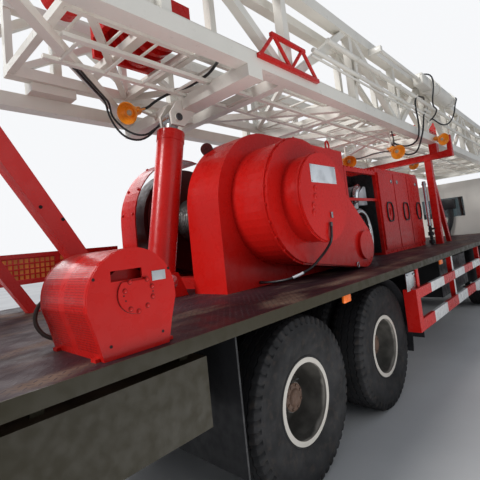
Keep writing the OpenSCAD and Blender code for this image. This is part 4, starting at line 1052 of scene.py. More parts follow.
class RigDrawworksFittings(bpy.types.Operator):
    """Bolts, eye, plate and rope of the drawworks"""

    bl_idname = "rig.drawworks_fittings"
    bl_label = "Drawworks fittings"

    centre = (-0.690, 1.975)

    def execute(self, context):
        self.bolts()
        self.eye()
        self.plate()
        self.rope()
        self.guard_hinges()
        self.roller()
        return {"FINISHED"}

    def roller(self):
        """Small roller on a short stub behind the top of the drum's guard."""
        roller = Shape()
        place = at(-1.080, -0.200, 2.578)
        way = Vector((0.72, 0.66, 0.10)).normalized()
        roller.lathe([(0, -0.045), (0.050, -0.045), (0.059, -0.038), (0.059, 0.030), (0.050, 0.038),
                      (0, 0.038)],
                     place, way, 32)
        roller.lathe([(0.020, -0.052), (0.020, -0.040), (0, -0.040), (0, -0.052)], place, way, 18)
        roller.done("guard_roller", "drum", "carrier", "red_paint")

    def bolts(self):
        """Bolt circles on the chain case's covers, and four plugs below its plate."""
        x, z = self.centre
        heads = Shape()
        for i in range(15):
            turn = math.radians(52 + 14.6 * i)
            place = at(x + 0.557 * math.cos(turn), -0.962, z + 0.557 * math.sin(turn))
            heads.bolt(place, (0, -1, 0), 0.019, 0.010)
        for i in range(12):
            turn = math.radians(30 * i + 8)
            place = at(x + 0.381 * math.cos(turn), -1.160, z + 0.381 * math.sin(turn))
            heads.bolt(place, (0, -1, 0), 0.009, 0.005)
        for bx, bz in ((-0.842, 2.040), (-0.856, 1.973), (-0.898, 1.900), (-0.902, 1.843)):
            heads.lathe([(0.026, 0), (0.026, 0.004), (0.021, 0.008), (0.012, 0.008), (0.010, 0.005),
                         (0, 0.005)],
                        at(bx, case_low.y, bz), (0, -1, 0), 20)
        for i in range(7):
            turn = math.radians(-92 + 23 * i)
            place = at(0.330 + 0.212 * math.cos(turn), -0.990, 1.500 + 0.212 * math.sin(turn))
            heads.bolt(place, (0, -1, 0), 0.015, 0.008)
        heads.done("chain_case_bolts", "red", "carrier", "red_paint")

    def eye(self):
        """Lifting eye on top of the chain case, and the ring of its drain."""
        lug = Shape()
        base = at(0.545, -0.585, 2.675)
        lug.sweep([base + Vector((0.040 * math.cos(t), 0, 0.042 + 0.056 * math.sin(t)))
                   for t in turns(24)], 0.011, 8, closed=True)
        lug.block(base + Vector((-0.05, -0.014, -0.004)), base + Vector((0.05, 0.014, 0.010)), 0.003)
        lug.done("case_lifting_eye", "red", "carrier", "red_paint")
        ring = Shape()
        hook = at(0.105, -0.997, 1.315)
        ring.sweep([hook + Vector((0.020 * math.cos(t), -0.006, 0.027 * math.sin(t)))
                    for t in turns(18)], 0.0055, 8, closed=True)
        ring.rod(hook + Vector((-0.004, 0.010, 0.022)), hook + Vector((-0.004, -0.014, 0.022)), 0.008, 10)
        ring.done("case_drain_ring", "steel", "carrier", "bare_steel")

    def plate(self):
        """Blank plate and its rivets on the chain case."""
        face = case_low.y
        sign = Shape()
        sign.block(at(-0.892, face - 0.003, 2.088), at(-0.478, face, 2.240), 0.0012)
        sign.done("case_blank_plate", "white", "carrier")
        rivets = Shape()
        for x in (-0.882, -0.488):
            for z in (2.098, 2.230):
                rivets.lathe([(0.005, 0), (0.004, 0.002), (0, 0.003)], at(x, face - 0.003, z), (0, -1, 0),
                             10)
        rivets.block(at(-0.655, face - 0.014, 1.790), at(-0.628, face, 1.842), 0.003)
        rivets.done("case_plate_rivets", "steel", "carrier", "bare_steel")

    def rope(self):
        """Wire rope wound on the drum in one layer."""
        rope_r, laps, drum_r = 0.0145, 26, 0.230
        x, z = self.centre
        profile = []
        for i in range(laps):
            for k in range(5):
                t = math.pi * (1 - k / 4)
                height = -0.176 + rope_r + i * 2 * rope_r + rope_r * math.cos(t)
                profile.append((drum_r + 0.004 + rope_r * math.sin(t), height))
        coil = Shape().lathe(profile, at(x, 0, z), (0, 1, 0), 56)
        coil.done("drum_rope", "rope", "drum", "bare_steel")

    def guard_hinges(self):
        """Bolts in two rows across the far brake guard."""
        x, z = self.centre
        straps = Shape()
        for turn in (95, 120, 150, 172):
            t = math.radians(turn)
            radius = 0.732
            place = Vector((x + radius * math.cos(t), 0, z + radius * math.sin(t)))
            for y in (0.66, 0.86):
                straps.bolt(at(place.x, y, place.z), (math.cos(t), 0, math.sin(t)), 0.024, 0.012)
        straps.done("brake_guard_bolts", "red", "carrier", "red_paint")


class RigCabinetFittings(bpy.types.Operator):
    """Handles and latches of the cabinet doors, and the pipework in the bay behind them"""

    bl_idname = "rig.cabinet_fittings"
    bl_label = "Cabinet fittings"

    def execute(self, context):
        for i, latches in enumerate(((2.470,), (2.715,), (3.600,))):
            name = f"house_door_{i + 1}"
            low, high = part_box(name)
            mid = (low.x + high.x - 0.026) / 2 + (0, 0.09, 0.13)[i]
            self.handle(name, mid, low.y)
            for k, x in enumerate(latches):
                latch = Shape()
                place = at(x, low.y, 2.372)
                latch.lathe([(0.034, 0), (0.034, 0.005), (0.030, 0.008), (0.020, 0.008), (0.017, 0.014),
                             (0, 0.015)],
                            place, (0, -1, 0), 24)
                latch.block(place + Vector((-0.006, -0.022, -0.017)),
                            place + Vector((0.006, -0.012, 0.017)), 0.002)
                latch.done(f"{name}_latch_{k + 1}", "chrome", name, "bare_steel")
        self.bay()
        return {"FINISHED"}

    def handle(self, name, x, face):
        """Black eight-sided pull handle that stands off the door."""
        half, tall, cut = 0.112, 0.142, 0.066
        outline = [(-half, -tall + cut), (-half + cut * 0.7, -tall), (half - cut * 0.7, -tall),
                   (half, -tall + cut), (half, tall - cut), (half - cut * 0.7, tall),
                   (-half + cut * 0.7, tall), (-half, tall - cut)]
        ring = Shape()
        points = [Vector((x + a, face - 0.009, 1.893 + b)) for a, b in outline]
        line = []
        for a, b in zip(points, points[1:] + points[:1]):
            line += [a.lerp(b, 0.08), a.lerp(b, 0.5), a.lerp(b, 0.92)]
        ring.sweep(line, 0.0115, 8, closed=True)
        ring.done(name + "_handle", "hose", name, "black_steel")

    def bay(self):
        """Pipes and covers in the open engine bay, black plates of painted shade at its back and side, and
        the vent beside the house.
        """
        pipes = Shape()
        elbow = ((1.05, -0.42, 1.62), (1.20, -0.44, 1.80), (1.42, -0.45, 1.92), (1.62, -0.45, 1.86),
                 (1.72, -0.45, 1.66), (1.74, -0.44, 1.45), (1.74, -0.42, 1.29))
        intake = ((1.94, -0.30, 2.28), (1.80, -0.34, 2.30), (1.62, -0.36, 2.22), (1.55, -0.36, 2.05),
                  (1.55, -0.34, 1.90))
        for route, radius in ((elbow, 0.045), (intake, 0.060)):
            pipes.sweep(smooth_line([at(*place) for place in route]), radius, 14)
        pipes.done("bay_pipes", "chrome", "carrier", "bare_steel")
        box = Shape()
        box.block(at(1.62, -0.40, 2.02), at(1.90, -0.22, 2.30), 0.012)
        box.done("bay_control_box", "white", "carrier")
        dark = Shape()
        dark.block(at(1.10, -0.44, 1.268), at(1.50, -0.26, 1.56), 0.015)
        dark.lathe([(0, 0), (0.10, 0), (0.11, 0.01), (0.11, 0.20), (0.10, 0.21), (0.05, 0.22), (0, 0.22)],
                   at(1.30, -0.30, 1.56), (0, 0, 1), 28)
        for k in range(3):
            z = 1.75 + k * 0.16
            route = ((1.02, -0.38 + k * 0.03, z), (1.25, -0.47, z - 0.06), (1.50, -0.40, z + 0.03),
                     (1.92, -0.36, z))
            dark.sweep(smooth_line([at(*place) for place in route]), 0.014, 8)
        dark.done("bay_hoses_and_filter", "hose", "carrier", "black_steel")
        # Painted shade: black plates and slats at the back of the bay and on the house's side wall stand
        # for the shade inside the open bay.
        back = Shape()
        back.block(at(1.930, -0.500, 1.300), at(1.948, 0.480, 2.500), 0.004)
        back.block(at(0.985, -0.180, 1.270), at(1.928, -0.160, 2.500), 0.004)
        for k in range(9):
            z = 1.36 + k * 0.125
            back.block(at(1.00, -0.200, z), at(1.90, -0.178, z + 0.045), 0.006)
        back.done("bay_painted_shade_plates", "dark", "carrier", "black_steel")
        bar = Shape()
        bar.block(at(0.975, -0.535, 2.060), at(1.955, -0.505, 2.100), 0.006)
        bar.done("bay_rail", "red", "carrier", "red_paint")
        stack = Shape()
        x, y, foot = 3.889, -0.645, 1.600
        stack.rod(at(x, y, foot), at(x, y, 2.43), 0.033, 20)
        for z in (foot, 1.80, 2.36):
            stack.lathe([(0.033, 0), (0.041, 0.004), (0.041, 0.03), (0.033, 0.034)], at(x, y, z),
                        (0, 0, 1), 20)
        stack.rod(at(x, y - 0.040, 1.462), at(4.330, y - 0.040, 1.462), 0.013, 14)
        stack.done("vent_pipe", "chrome", "carrier", "bare_steel")
        valve = Shape()
        valve.rod(at(x, y, 1.264), at(x, y, foot + 0.010), 0.028, 16)
        for z in (1.275, 1.420):
            valve.lathe([(0.028, 0), (0.048, 0.006), (0.048, 0.070), (0.028, 0.076)], at(x, y, z),
                        (0, 0, 1), 20)
        valve.rod(at(x, y - 0.085, 1.545), at(x, y + 0.03, 1.545), 0.018, 12)
        valve.done("vent_valve", "hose", "carrier", "black_steel")


class RigFloodlights(bpy.types.Operator):
    """Amber floodlights under the mast: bell, yoke, lens and the arm to the mast"""

    bl_idname = "rig.floodlights"
    bl_label = "Floodlights"

    # Middle of the bell's mouth, the way that it faces, and the axis and place
    # at which its arm meets the mast
    lamps = [
        ((-1.620, 0.266, 2.987), (-0.845, -0.340, -0.415), 0, -1.249),
        ((2.078, -0.119, 2.755), (-0.682, -0.585, -0.439), 2, 3.091),
        ((2.080, -0.878, 2.733), (-0.615, -0.615, -0.496), 2, 3.091),
        ((4.880, -0.220, 2.918), (-0.615, -0.615, -0.496), 2, 3.091),
        ((3.700, -1.119, 3.079), (-0.553, -0.754, -0.352), 1, -0.949),
    ]

    def execute(self, context):
        radius = context.scene.rig_sizes.lamp
        for i, (place, way, axis, end) in enumerate(self.lamps):
            self.lamp(f"floodlight_{i + 1}", at(*place), Vector(way).normalized(), axis, end, radius)
        return {"FINISHED"}

    def lamp(self, name, place, way, axis, end, r):
        """One floodlight: bell, glass, body, yoke and gland."""
        level = way.cross(Vector((0, 0, 1))).normalized()
        up = level.cross(way)
        around = [level * math.cos(t) + up * math.sin(t) for t in turns(40)]
        bell = Shape()
        bell.lathe(
            [(0, -0.205), (0.032, -0.205), (0.040, -0.197), (0.040, -0.122), (0.046, -0.114),
             (0.056, -0.105), (0.060, -0.097), (0.062, -0.058), (0.066, -0.052), (0.078, -0.044),
             (r - 0.007, -0.010), (r + 0.001, 0.0), (r + 0.001, 0.008), (r - 0.003, 0.010),
             (r - 0.012, -0.004), (0.084, -0.012), (0.080, -0.019), (0.076, -0.019), (0.068, -0.030),
             (0.064, -0.037), (0.060, -0.037), (0.052, -0.046), (0.046, -0.048), (0.042, -0.038),
             (0.034, -0.034), (0.026, -0.034)], place, way, 44
        )
        bell.sweep([place + out * (r + 0.002) + way * 0.007 for out in around], 0.0048, 8, closed=True)
        for k in range(6):
            out = around[k * 40 // 6 + 2]
            bell.rod(place + out * 0.040 - way * 0.118, place + out * 0.040 - way * 0.196, 0.004, 6)
        # Yoke: a cheek each side and a bar behind
        back = place - way * 0.222
        for s in (-1, 1):
            side = level * s
            bell.rod(place + side * 0.056 - way * 0.080, place + side * 0.080 - way * 0.080, 0.013, 12)
            bell.bolt(place + side * 0.079 - way * 0.080, side, 0.022, 0.010)
            bell.sweep([place + side * 0.073 - way * 0.070, place + side * 0.073 - way * 0.180,
                        place + side * 0.068 - way * 0.210, place + side * 0.050 - way * 0.224], 0.0085, 8)
        bell.rod(back - level * 0.058, back + level * 0.058, 0.010, 10)
        bell.done(name, "amber", "lower_mast")
        lens = Shape()
        lens.lathe([(0.027, -0.045), (0.027, -0.032), (0.023, -0.028), (0.014, -0.025), (0, -0.023)],
                   place, way, 28)
        lens.done(name + "_lens", "lamp_glass", "lower_mast", "window_glass")
        gland = Shape()
        gland.rod(place - way * 0.200, place - way * 0.240, 0.015, 12)
        gland.done(name + "_gland", "hose", "lower_mast", "black_steel")
        arm = Shape()
        foot = back.copy()
        foot[axis] = end + (axle_3 if axis == 0 else 0)
        foot.z = max(foot.z, 3.040) if axis == 2 else min(foot.z, 3.040) if axis == 0 else foot.z
        out = (foot - back).normalized()
        arm.rod(back - out * 0.014, foot, 0.013, 14)
        arm.lathe([(0, -0.012), (0.028, -0.012), (0.031, -0.009), (0.031, 0.0), (0, 0.0)], foot, out, 24)
        arm.done(name + "_arm", "ivory", "lower_mast", "ivory_paint")


class RigMastFittings(bpy.types.Operator):
    """Service pipes, red stay truss and the hydraulic unit on the mast's near side"""

    bl_idname = "rig.mast_fittings"
    bl_label = "Mast fittings"

    def execute(self, context):
        self.truss()
        self.pipes()
        self.unit()
        self.pins()
        return {"FINISHED"}

    def truss(self):
        """Red braced frame on the near side of the mast."""
        frame_bars = Shape()
        y = near_mast - 0.022
        low = [(-1.10, 3.185), (-0.655, 3.185), (-0.21, 3.185)]
        top = [(-0.88, 3.435), (-0.43, 3.435)]
        frame_bars.block(at(-1.12, y - 0.018, 3.165), at(-0.19, near_mast, 3.205), 0.004)
        frame_bars.block(at(-0.92, y - 0.018, 3.415), at(-0.39, y + 0.018, 3.450), 0.004)
        for a, b in ((low[0], top[0]), (top[0], low[1]), (low[1], top[1]), (top[1], low[2])):
            frame_bars.rod(at(a[0], y, a[1]), at(b[0], y, b[1]), 0.017, 10)
        frame_bars.done("mast_stay_truss", "red", "lower_mast", "red_paint")

    def pipes(self):
        """Service pipes along the near side, on a plate at each post, with their clamps and unions."""
        runs = Shape()
        y = near_mast - 0.035
        for z, x0, x1, r in ((3.500, -0.24, 9.40, 0.024), (3.715, 0.10, 9.40, 0.030),
                             (3.430, -0.28, 3.40, 0.013)):
            runs.rod(at(x0, y, z), at(x1, y, z), r, 18)
        for i in range(3, 10):
            x = mast_foot + post_pitch * i
            runs.block(at(x - 0.030, near_mast - 0.022, 3.40), at(x + 0.030, near_mast + 0.002, 3.76),
                       0.004)
            for z, r in ((3.500, 0.024), (3.715, 0.030)):
                runs.sweep([at(x, y + (r + 0.004) * math.cos(t), z + (r + 0.004) * math.sin(t))
                            for t in turns(20)], 0.006, 6, closed=True)
                runs.lathe([(r - 0.002, 0), (r + 0.009, 0.003), (r + 0.009, 0.055), (r - 0.002, 0.058)],
                           at(x + 0.62, y, z), (1, 0, 0), 6)
        runs.done("mast_service_pipes", "ivory", "lower_mast", "ivory_paint")

    def unit(self):
        """Hydraulic unit beside the upper chord: barrel, head block, long rod, brackets and ports."""
        unit = Shape()
        y, z = near_mast - 0.135, 3.955
        unit.lathe([(0, 0), (0.120, 0), (0.138, 0.003), (0.138, 0.030), (0.125, 0.033), (0.125, 1.290),
                    (0.138, 1.293), (0.138, 1.318), (0.125, 1.324), (0.090, 1.326), (0.090, 1.372),
                    (0.082, 1.380), (0, 1.380)],
                   at(3.290, y, z), (1, 0, 0), 44)
        unit.block(at(2.820, y - 0.075, z - 0.090), at(3.300, y + 0.075, z + 0.090), 0.014)
        unit.block(at(2.900, y - 0.045, z + 0.080), at(3.100, y + 0.045, z + 0.118), 0.008)
        unit.rod(at(1.300, y, z), at(2.830, y, z), 0.024, 20)
        unit.lathe([(0.024, 0), (0.036, 0.002), (0.036, 0.050), (0.024, 0.052)], at(2.766, y, z),
                   (1, 0, 0), 24)
        for x, inner in ((1.300, 0), (3.600, 0.100), (4.400, 0.100)):
            unit.block(at(x - 0.030, y + inner - 0.034, z - 0.040),
                       at(x + 0.030, near_mast + 0.002, z + 0.040), 0.004)
        for x in (3.600, 4.400):
            unit.sweep([at(x, y + 0.130 * math.cos(t), z + 0.130 * math.sin(t))
                        for t in turns(32)], 0.009, 6, closed=True)
        for k in range(8):
            t = 2 * math.pi * (k + 0.5) / 8
            unit.bolt(at(4.611, y + 0.112 * math.cos(t), z + 0.112 * math.sin(t)), (1, 0, 0), 0.020, 0.011)
        for s in (-1, 1):
            for h in (-1, 1):
                unit.bolt(at(2.820, y + s * 0.052, z + h * 0.062), (-1, 0, 0), 0.020, 0.012)
        unit.block(at(3.300, near_mast - 0.060, 3.560), at(3.620, near_mast - 0.004, 3.600), 0.006)
        unit.block(at(3.540, near_mast - 0.022, 3.560), at(3.610, near_mast + 0.002, 3.880), 0.004)
        unit.done("mast_hydraulic_unit", "ivory", "lower_mast", "ivory_paint")
        ports = Shape()
        ports.rod(at(3.140, near_mast - 0.060, 4.112), at(3.140, near_mast + 0.004, 4.112), 0.018, 12)
        ports.rod(at(4.750, near_mast - 0.060, 4.080), at(4.750, near_mast + 0.004, 4.080), 0.018, 12)
        ports.done("mast_unit_ports", "steel", "lower_mast", "bare_steel")

    def pins(self):
        """Pin ends on the cross beam's lugs and the cylinder's eye."""
        ends = Shape()
        x, z = -1.310, 2.890
        for s in (-1, 1):
            place = at(x, s * 0.112, z)
            ends.lathe([(0.036, 0), (0.036, 0.008), (0.030, 0.012), (0, 0.012)], place, (0, s, 0), 24)
            ends.bolt(place + Vector((0, s * 0.010, 0)), (0, s, 0), 0.022, 0.010)
        ends.done("cylinder_pin_caps", "dull", "lower_mast", "bare_steel")


class RigDeckFittings(bpy.types.Operator):
    """Side markers, brackets, wheel guards and tail lamps along the deck"""

    bl_idname = "rig.deck_fittings"
    bl_label = "Deck fittings"

    def execute(self, context):
        bottom = deck_top - 0.065
        markers, cups = Shape(), Shape()
        for s in (-1, 1):
            y = s * (deck_half - 0.012)
            for x in (-0.945, 1.505, 3.95, 6.40):
                markers.block(at(x - 0.057, y - 0.011, bottom - 0.056),
                              at(x + 0.057, y + 0.011, bottom + 0.004), 0.010)
                cups.block(at(x - 0.053, y - 0.006 - 0.010 * s, bottom - 0.050),
                           at(x + 0.053, y + 0.006 - 0.010 * s, bottom), 0.004)
        markers.done("side_markers", "marker", "carrier")
        cups.done("side_marker_cups", "black", "carrier", "black_steel")
        self.bracket()
        self.mudguards()
        self.tail()
        return {"FINISHED"}

    def bracket(self):
        """Plated bracket behind each guard's post, with a red strip beside it."""
        for s, side in ((-1, "right"), (1, "left")):
            y0, y1 = sorted((s * (deck_half - 0.028), s * (deck_half - 0.034)))
            plate, strip = Shape(), Shape()
            plate.block(at(0.335, y0, 1.003), at(0.592, y1, 1.199), 0.002)
            plate.block(at(0.335, min(y0, y1 - s * 0.04), 1.180), at(0.592, max(y1, y0 - s * 0.04), 1.199),
                        0.002)
            for x in (0.370, 0.555):
                plate.bolt(at(x, s * (deck_half - 0.028), 1.155), (0, s, 0), 0.018, 0.009)
            strip.block(at(0.628, y0 - 0.004, 1.000), at(0.700, y1 + 0.004, 1.199), 0.003)
            plate.done(f"guard_bracket_{side}", "chrome", "carrier", "bare_steel")
            strip.done(f"guard_strip_{side}", "red", "carrier", "red_paint")

    def mudguards(self):
        """Curved black guard ahead of the twin wheels."""
        guards = Shape()
        low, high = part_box("tyre_3_right")
        axle = (low + high) / 2
        radius = (high.z - low.z) / 2 + 0.050
        angles = [math.radians(75 - 95 * k / 23) for k in range(24)]
        outline = [(axle.x + r * math.cos(t), axle.z + r * math.sin(t))
                   for r, way in ((radius, 1), (radius + 0.006, -1)) for t in angles[::way]]
        for s in (-1, 1):
            y0, y1 = sorted((s * 0.880, s * 1.262))
            guards.plate(outline, y0, y1, 0.0012)
        guards.block(at(0.130, -1.262, 1.150), at(0.170, 1.262, 1.178), 0.004)
        guards.done("wheel_guards", "black", "carrier", "black_steel")

    def tail(self):
        """Lamp clusters on the rear beam."""
        rear = deck_low.x
        lamps, cups = Shape(), Shape()
        for s in (-1, 1):
            for k in range(3):
                y = s * (0.78 + k * 0.13)
                lamps.lathe([(0, 0.0), (0.046, 0.0), (0.052, 0.004), (0.050, 0.014), (0.030, 0.020),
                             (0, 0.021)],
                            (rear + 0.062, y, 1.080), (-1, 0, 0), 24)
            y0, y1 = sorted((s * 0.71, s * 1.11))
            cups.block((rear + 0.058, y0, 1.015), (rear + 0.100, y1, 1.142), 0.008)
        lamps.done("tail_lamps", "stop", "carrier")
        cups.done("tail_lamp_boxes", "black", "carrier", "black_steel")


class RigSupportFittings(bpy.types.Operator):
    """Bolt holes, pins and pipes of the mast supports and the erecting cylinder"""

    bl_idname = "rig.support_fittings"
    bl_label = "Support fittings"

    def execute(self, context):
        # Painted shade: flat black discs on the braces stand for the shade inside their bolt holes.
        holes = Shape()
        for s in (-1, 1):
            face = s * 0.8205
            for x, z in ((-2.708, 1.877), (-2.810, 1.940), (-3.020, 2.420), (-2.560, 1.590)):
                holes.lathe([(0, 0), (0.009, 0), (0.009, 0.001), (0.007, 0.001), (0.006, 0.0004),
                             (0, 0.0004)],
                            at(x, face, z), (0, s, 0), 16)
        holes.done("brace_bolt_hole_shades", "dark", "carrier", "black_steel")
        pins = Shape()
        for s in (-1, 1):
            place = at(mast_foot, s * 0.975, 3.135)
            pins.lathe([(0.060, 0), (0.060, 0.012), (0.045, 0.016), (0, 0.016)], place, (0, s, 0), 28)
            pins.bolt(place + Vector((0, s * 0.014, 0)), (0, s, 0), 0.034, 0.016)
            foot = at(-1.600, s * 0.170, 1.400)
            pins.lathe([(0.055, 0), (0.055, 0.010), (0.040, 0.013), (0, 0.013)], foot, (0, s, 0), 24)
        pins.done("support_pin_caps", "steel", "carrier", "bare_steel")
        self.cylinder_pipe()
        self.mesh_guard()
        self.gantry_guides()
        return {"FINISHED"}

    def mesh_guard(self):
        """Perforated guard with orange netting behind it, in front of the far railing's sheet."""
        x0, x1, z0, z1 = -3.300, -1.250, 1.516, 1.744
        guard, net = Shape(), Shape()
        net.block(at(x0 + 0.03, 1.3352, z0), at(x1 - 0.03, 1.3385, z1), 0.0)
        net.done("guard_netting", "netting", "carrier")
        for i in range(42):
            x = x0 + 0.030 + i * 0.0485
            guard.block(at(x - 0.0075, 1.3290, z0), at(x + 0.0075, 1.3350, z1), 0.0022)
        for z in (1.522, 1.575, 1.628, 1.681, 1.736):
            guard.block(at(x0 + 0.02, 1.3280, z - 0.007), at(x1 - 0.02, 1.3345, z + 0.007), 0.0022)
        guard.done("mesh_guard", "red", "carrier", "red_paint")

    def gantry_guides(self):
        """Tapered guides at the ends of the front rest, outside the mast's chords."""
        guides = Shape()
        for s in (-1, 1):
            y0, y1 = sorted((s * 1.110, s * 1.180))
            corners = ((3.890, 2.907), (4.010, 2.907), (3.985, 3.180), (3.915, 3.180))
            outline = [(at(x, 0, 0).x, z) for x, z in corners]
            guides.plate(outline, y0, y1, 0.004)
            guides.block(at(3.900, min(y0, s * 1.06), 2.905), at(4.000, max(y1, s * 1.06), 2.921), 0.003)
        guides.done("gantry_guides", "red", "carrier", "red_paint")

    def cylinder_pipe(self):
        """Oil pipe clipped up the barrel."""
        foot, eye = Vector((-1.600, 0, 1.400)), Vector((-1.310, 0, 2.890))
        along = (eye - foot).normalized()
        side = Vector((0.62, 0.78, 0)).normalized()
        side = (side - along * side.dot(along)).normalized()
        start = at(*foot) + side * 0.139
        pipe = Shape()
        pipe.rod(start + along * 0.14, start + along * 1.27, 0.011, 12)
        for h in (0.20, 0.62, 1.02, 1.24):
            centre = start + along * h
            pipe.block(centre - Vector((0.020, 0.020, 0.018)), centre + Vector((0.020, 0.020, 0.018)),
                       0.004)
        pipe.done("cylinder_oil_pipe", "red", "cylinder_barrel", "red_paint")
        gland = Shape()
        top = at(*foot)
        gland.lathe([(0.126, 1.285), (0.130, 1.288), (0.130, 1.384), (0.125, 1.388), (0.110, 1.389),
                     (0.107, 1.386), (0.107, 1.332)], top, along, 40)
        gland.done("cylinder_gland", "red", "cylinder_barrel", "red_paint")


class RigCabFittings(bpy.types.Operator):
    """Grille, lamps, mirrors, wipers and steps of the cab"""

    bl_idname = "rig.cab_fittings"
    bl_label = "Cab fittings"

    front = 9.650
    lean = 150 / 1080

    def face(self, z):
        """X of the cab's front at a height."""
        if z >= 1.5:
            return self.front - (z - 1.5) * self.lean
        return self.front - (1.5 - z) * 0.06 / 0.56

    def execute(self, context):
        self.grille()
        self.lamps()
        self.mirrors()
        self.wipers()
        self.steps()
        self.intake()
        self.roof()
        return {"FINISHED"}

    def grille(self):
        """Ivory slats in a raised frame on the nose, over black mesh."""
        lean = math.atan2(0.06, 0.56)
        low, high, half = 0.980, 1.450, 0.610

        def strip(shape, z0, z1, y0, y1, back, out, bevel):
            """Strip across the nose between two heights."""
            corners = ((z0, back), (z0, out), (z1, out), (z1, back))
            outline = [(at(self.face(z) + d, 0, 0).x, z) for z, d in corners]
            shape.plate(outline, y0, y1, bevel)

        mesh = Shape()
        strip(mesh, low + 0.004, high - 0.004, -half + 0.004, half - 0.004, -0.006, 0.003, 0.0)
        mesh.done("cab_grille_mesh", "dark", "carrier", "black_steel")
        frame_bars = Shape()
        for z in (low - 0.030, high):
            strip(frame_bars, z, z + 0.030, -half - 0.030, half + 0.030, -0.006, 0.026, 0.006)
        for y in (-half - 0.030, half):
            strip(frame_bars, low - 0.012, high + 0.012, y, y + 0.030, -0.006, 0.026, 0.006)
        pitch = (high - low) / 7
        for k in range(7):
            z = low + k * pitch + 0.015
            strip(frame_bars, z, z + 0.034, -half - 0.004, half + 0.004, 0.002, 0.021, 0.006)
        for y in (-0.205, 0.205):
            strip(frame_bars, low, high, y - 0.010, y + 0.010, 0.001, 0.012, 0.002)
        frame_bars.done("cab_grille", "ivory", "carrier", "ivory_paint")
        edges = Shape()
        for k in range(7):
            z = low + k * pitch + 0.027
            strip(edges, z, z + 0.010, -half + 0.030, half - 0.030, 0.018, 0.0235, 0.002)
        edges.done("cab_grille_edges", "chrome", "carrier", "bare_steel")
        badge = Shape()
        badge.block(at(self.face(1.52) - 0.006, -0.42, 1.500), at(self.face(1.52) + 0.010, 0.42, 1.545),
                    0.005, tilt=lean)
        badge.done("cab_nose_strip", "chrome", "carrier", "bare_steel")

    def lamps(self):
        """Headlamps, fog lamps and turn lamps on the cab's face."""
        lens, bowl, ring = Shape(), Shape(), Shape()
        x = self.face(1.160)
        for s in (-1, 1):
            for y in (0.80, 0.99):
                middle_point = at(x, s * y, 1.160)
                bowl.lathe([(0.092, -0.020), (0.092, 0.012), (0.089, 0.016), (0.082, 0.016), (0.079, 0.012),
                            (0.078, -0.001)], middle_point, (1, 0, 0), 36)
                ring.lathe([(0.079, 0.001), (0.077, 0.010), (0.072, 0.012), (0.069, 0.006)], middle_point,
                           (1, 0, 0), 36)
                lens.lathe([(0.072, 0.002), (0.066, 0.006), (0.048, 0.011), (0.025, 0.014), (0, 0.015)],
                           middle_point, (1, 0, 0), 32)
            y0, y1 = sorted((s * 0.60, s * 0.78))
            lens.block(at(9.598, y0, 0.60), at(9.614, y1, 0.67), 0.006)
        lens.done("cab_headlamps", "lens", "carrier", "window_glass")
        bowl.done("cab_headlamp_bowls", "ivory", "carrier", "ivory_paint")
        ring.done("cab_headlamp_rims", "chrome", "carrier", "bare_steel")
        turn = Shape()
        for s in (-1, 1):
            y0, y1 = sorted((s * 1.115, s * 1.215))
            turn.block(at(x - 0.014, y0, 1.110), at(x + 0.012, y1, 1.210), 0.008)
        turn.done("cab_turn_lamps", "marker", "carrier")

    def mirrors(self):
        """Mirror arms and shells."""
        arms, shells = Shape(), Shape()
        for s in (-1, 1):
            line = [(9.30, s * 1.252, 2.42), (9.36, s * 1.30, 2.44), (9.40, s * 1.335, 2.38),
                    (9.40, s * 1.338, 2.10), (9.40, s * 1.335, 1.80), (9.34, s * 1.30, 1.74),
                    (9.27, s * 1.252, 1.72)]
            arms.sweep(smooth_line([at(*p) for p in line]), 0.012, 10)
            y0, y1 = sorted((s * 1.285, s * 1.395))
            shells.block(at(9.355, y0, 1.92), at(9.415, y1, 2.30), 0.018)
            shells.block(at(9.355, y0 + 0.01, 1.80), at(9.410, y1 - 0.01, 1.90), 0.014)
        arms.done("cab_mirror_arms", "black", "carrier", "black_steel")
        shells.done("cab_mirrors", "hose", "carrier", "black_steel")

    def wipers(self):
        """Wiper arms and blades on the windscreen."""
        blades = Shape()
        for s in (-1, 1):
            for y in (0.20, 0.72):
                base = at(self.face(1.60) + 0.012, s * y, 1.60)
                tip = at(self.face(1.98) + 0.004, s * (y + 0.30), 1.98)
                blades.rod(base, tip, 0.006, 8)
                blades.lathe([(0.016, -0.01), (0.016, 0.008), (0, 0.012)], base, (1, 0, 0.14), 14)
                mid = at(self.face(1.86) - 0.002, s * (y + 0.10), 1.74)
                end = at(self.face(2.20) - 0.002, s * (y + 0.34), 2.16)
                blades.rod(mid, end, 0.007, 8)
        blades.done("cab_wipers", "hose", "carrier", "black_steel")

    def steps(self):
        """Treads below the cab's doors."""
        treads = Shape()
        for s in (-1, 1):
            for k, z in enumerate((0.50, 0.74)):
                y0, y1 = sorted((s * 1.06, s * (1.24 + 0.02 * (1 - k))))
                treads.block(at(8.20, y0, z), at(8.84, y1, z + 0.030), 0.006)
            for x in (8.22, 8.79):
                y0, y1 = sorted((s * 1.10, s * 1.14))
                treads.block(at(x, y0, 0.50), at(x + 0.03, y1, 0.80), 0.004)
        treads.done("cab_steps", "black", "carrier", "black_steel")

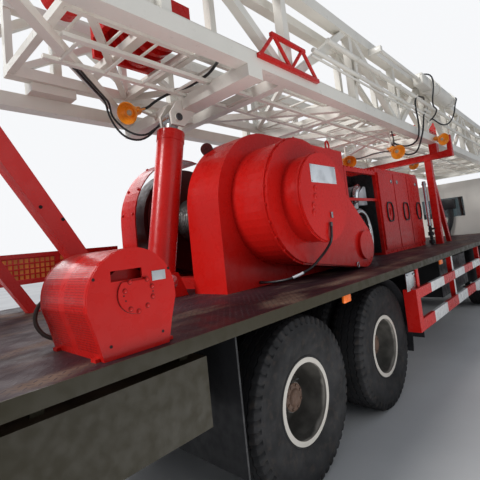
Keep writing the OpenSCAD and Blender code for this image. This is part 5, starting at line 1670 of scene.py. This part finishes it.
    def intake(self):
        """Air intake and its hoses against the cab's rear wall."""
        duct = Shape()
        duct.block(at(7.290, -0.330, 1.950), at(7.462, -0.030, 2.215), 0.030)
        route = ((7.38, -0.19, 1.98), (7.38, -0.19, 1.75), (7.36, -0.14, 1.55), (7.34, -0.08, 1.40),
                 (7.34, -0.06, 1.266))
        duct.sweep(smooth_line([at(*place) for place in route]), 0.065, 16)
        for k, z in enumerate((1.86, 1.72, 1.58)):
            duct.lathe([(0.066, 0), (0.074, 0.003), (0.074, 0.020), (0.066, 0.023)],
                       at(7.38 - 0.005 * k, -0.19 + 0.02 * k, z), (0, 0, 1), 20)
        duct.done("cab_air_intake", "hose", "carrier", "black_steel")

    def roof(self):
        """Two beacons and a row of marker lamps on the roof."""
        lights = Shape()
        for y in (-0.9, 0.9):
            lights.lathe([(0, 0), (0.070, 0), (0.070, 0.02), (0.062, 0.03), (0.060, 0.11), (0.045, 0.135),
                          (0, 0.14)],
                         at(8.95, y, 2.640), (0, 0, 1), 28)
        lights.done("cab_beacons", "marker", "carrier")
        horn = Shape()
        for k in range(5):
            y = -0.50 + k * 0.25
            horn.block(at(9.30, y - 0.05, 2.640), at(9.36, y + 0.05, 2.668), 0.008)
        horn.done("cab_marker_lamps", "marker", "carrier")


class RigPanel(bpy.types.Panel):
    """Lists the rig's settings and pieces"""

    bl_idname = "VIEW3D_PT_rig"
    bl_label = "Workover rig"
    bl_space_type = "VIEW_3D"
    bl_region_type = "UI"
    bl_category = "Rig"

    def draw(self, context):
        """Lists the settings and a button for each group."""
        for group in (context.scene.rig_sizes, context.scene.rig_colours):
            for key in group.bl_rna.properties.keys():
                if key not in ("rna_type", "name"):
                    self.layout.prop(group, key)
        for operator in operators:
            self.layout.operator(operator.bl_idname)


operators = (
    RigStage, RigPaint, RigHoses, RigTyres, RigWheelFittings, RigBrakeFittings, RigDrawworksFittings,
    RigCabinetFittings, RigFloodlights, RigMastFittings, RigDeckFittings, RigSupportFittings,
    RigCabFittings,
)
classes = (RigColours, RigSizes, *operators, RigPanel)


def register():
    """Adds the settings, the operators and the panel."""
    for item in classes:
        bpy.utils.register_class(item)
    bpy.types.Scene.rig_colours = PointerProperty(type=RigColours)
    bpy.types.Scene.rig_sizes = PointerProperty(type=RigSizes)


def unregister():
    """Takes them away again."""
    del bpy.types.Scene.rig_sizes
    del bpy.types.Scene.rig_colours
    for item in reversed(classes):
        bpy.utils.unregister_class(item)


def main():
    """Makes every piece in order."""
    register()
    for operator in operators:
        group, name = operator.bl_idname.split(".")
        getattr(getattr(bpy.ops, group), name)()


if __name__ == "__main__":
    main()
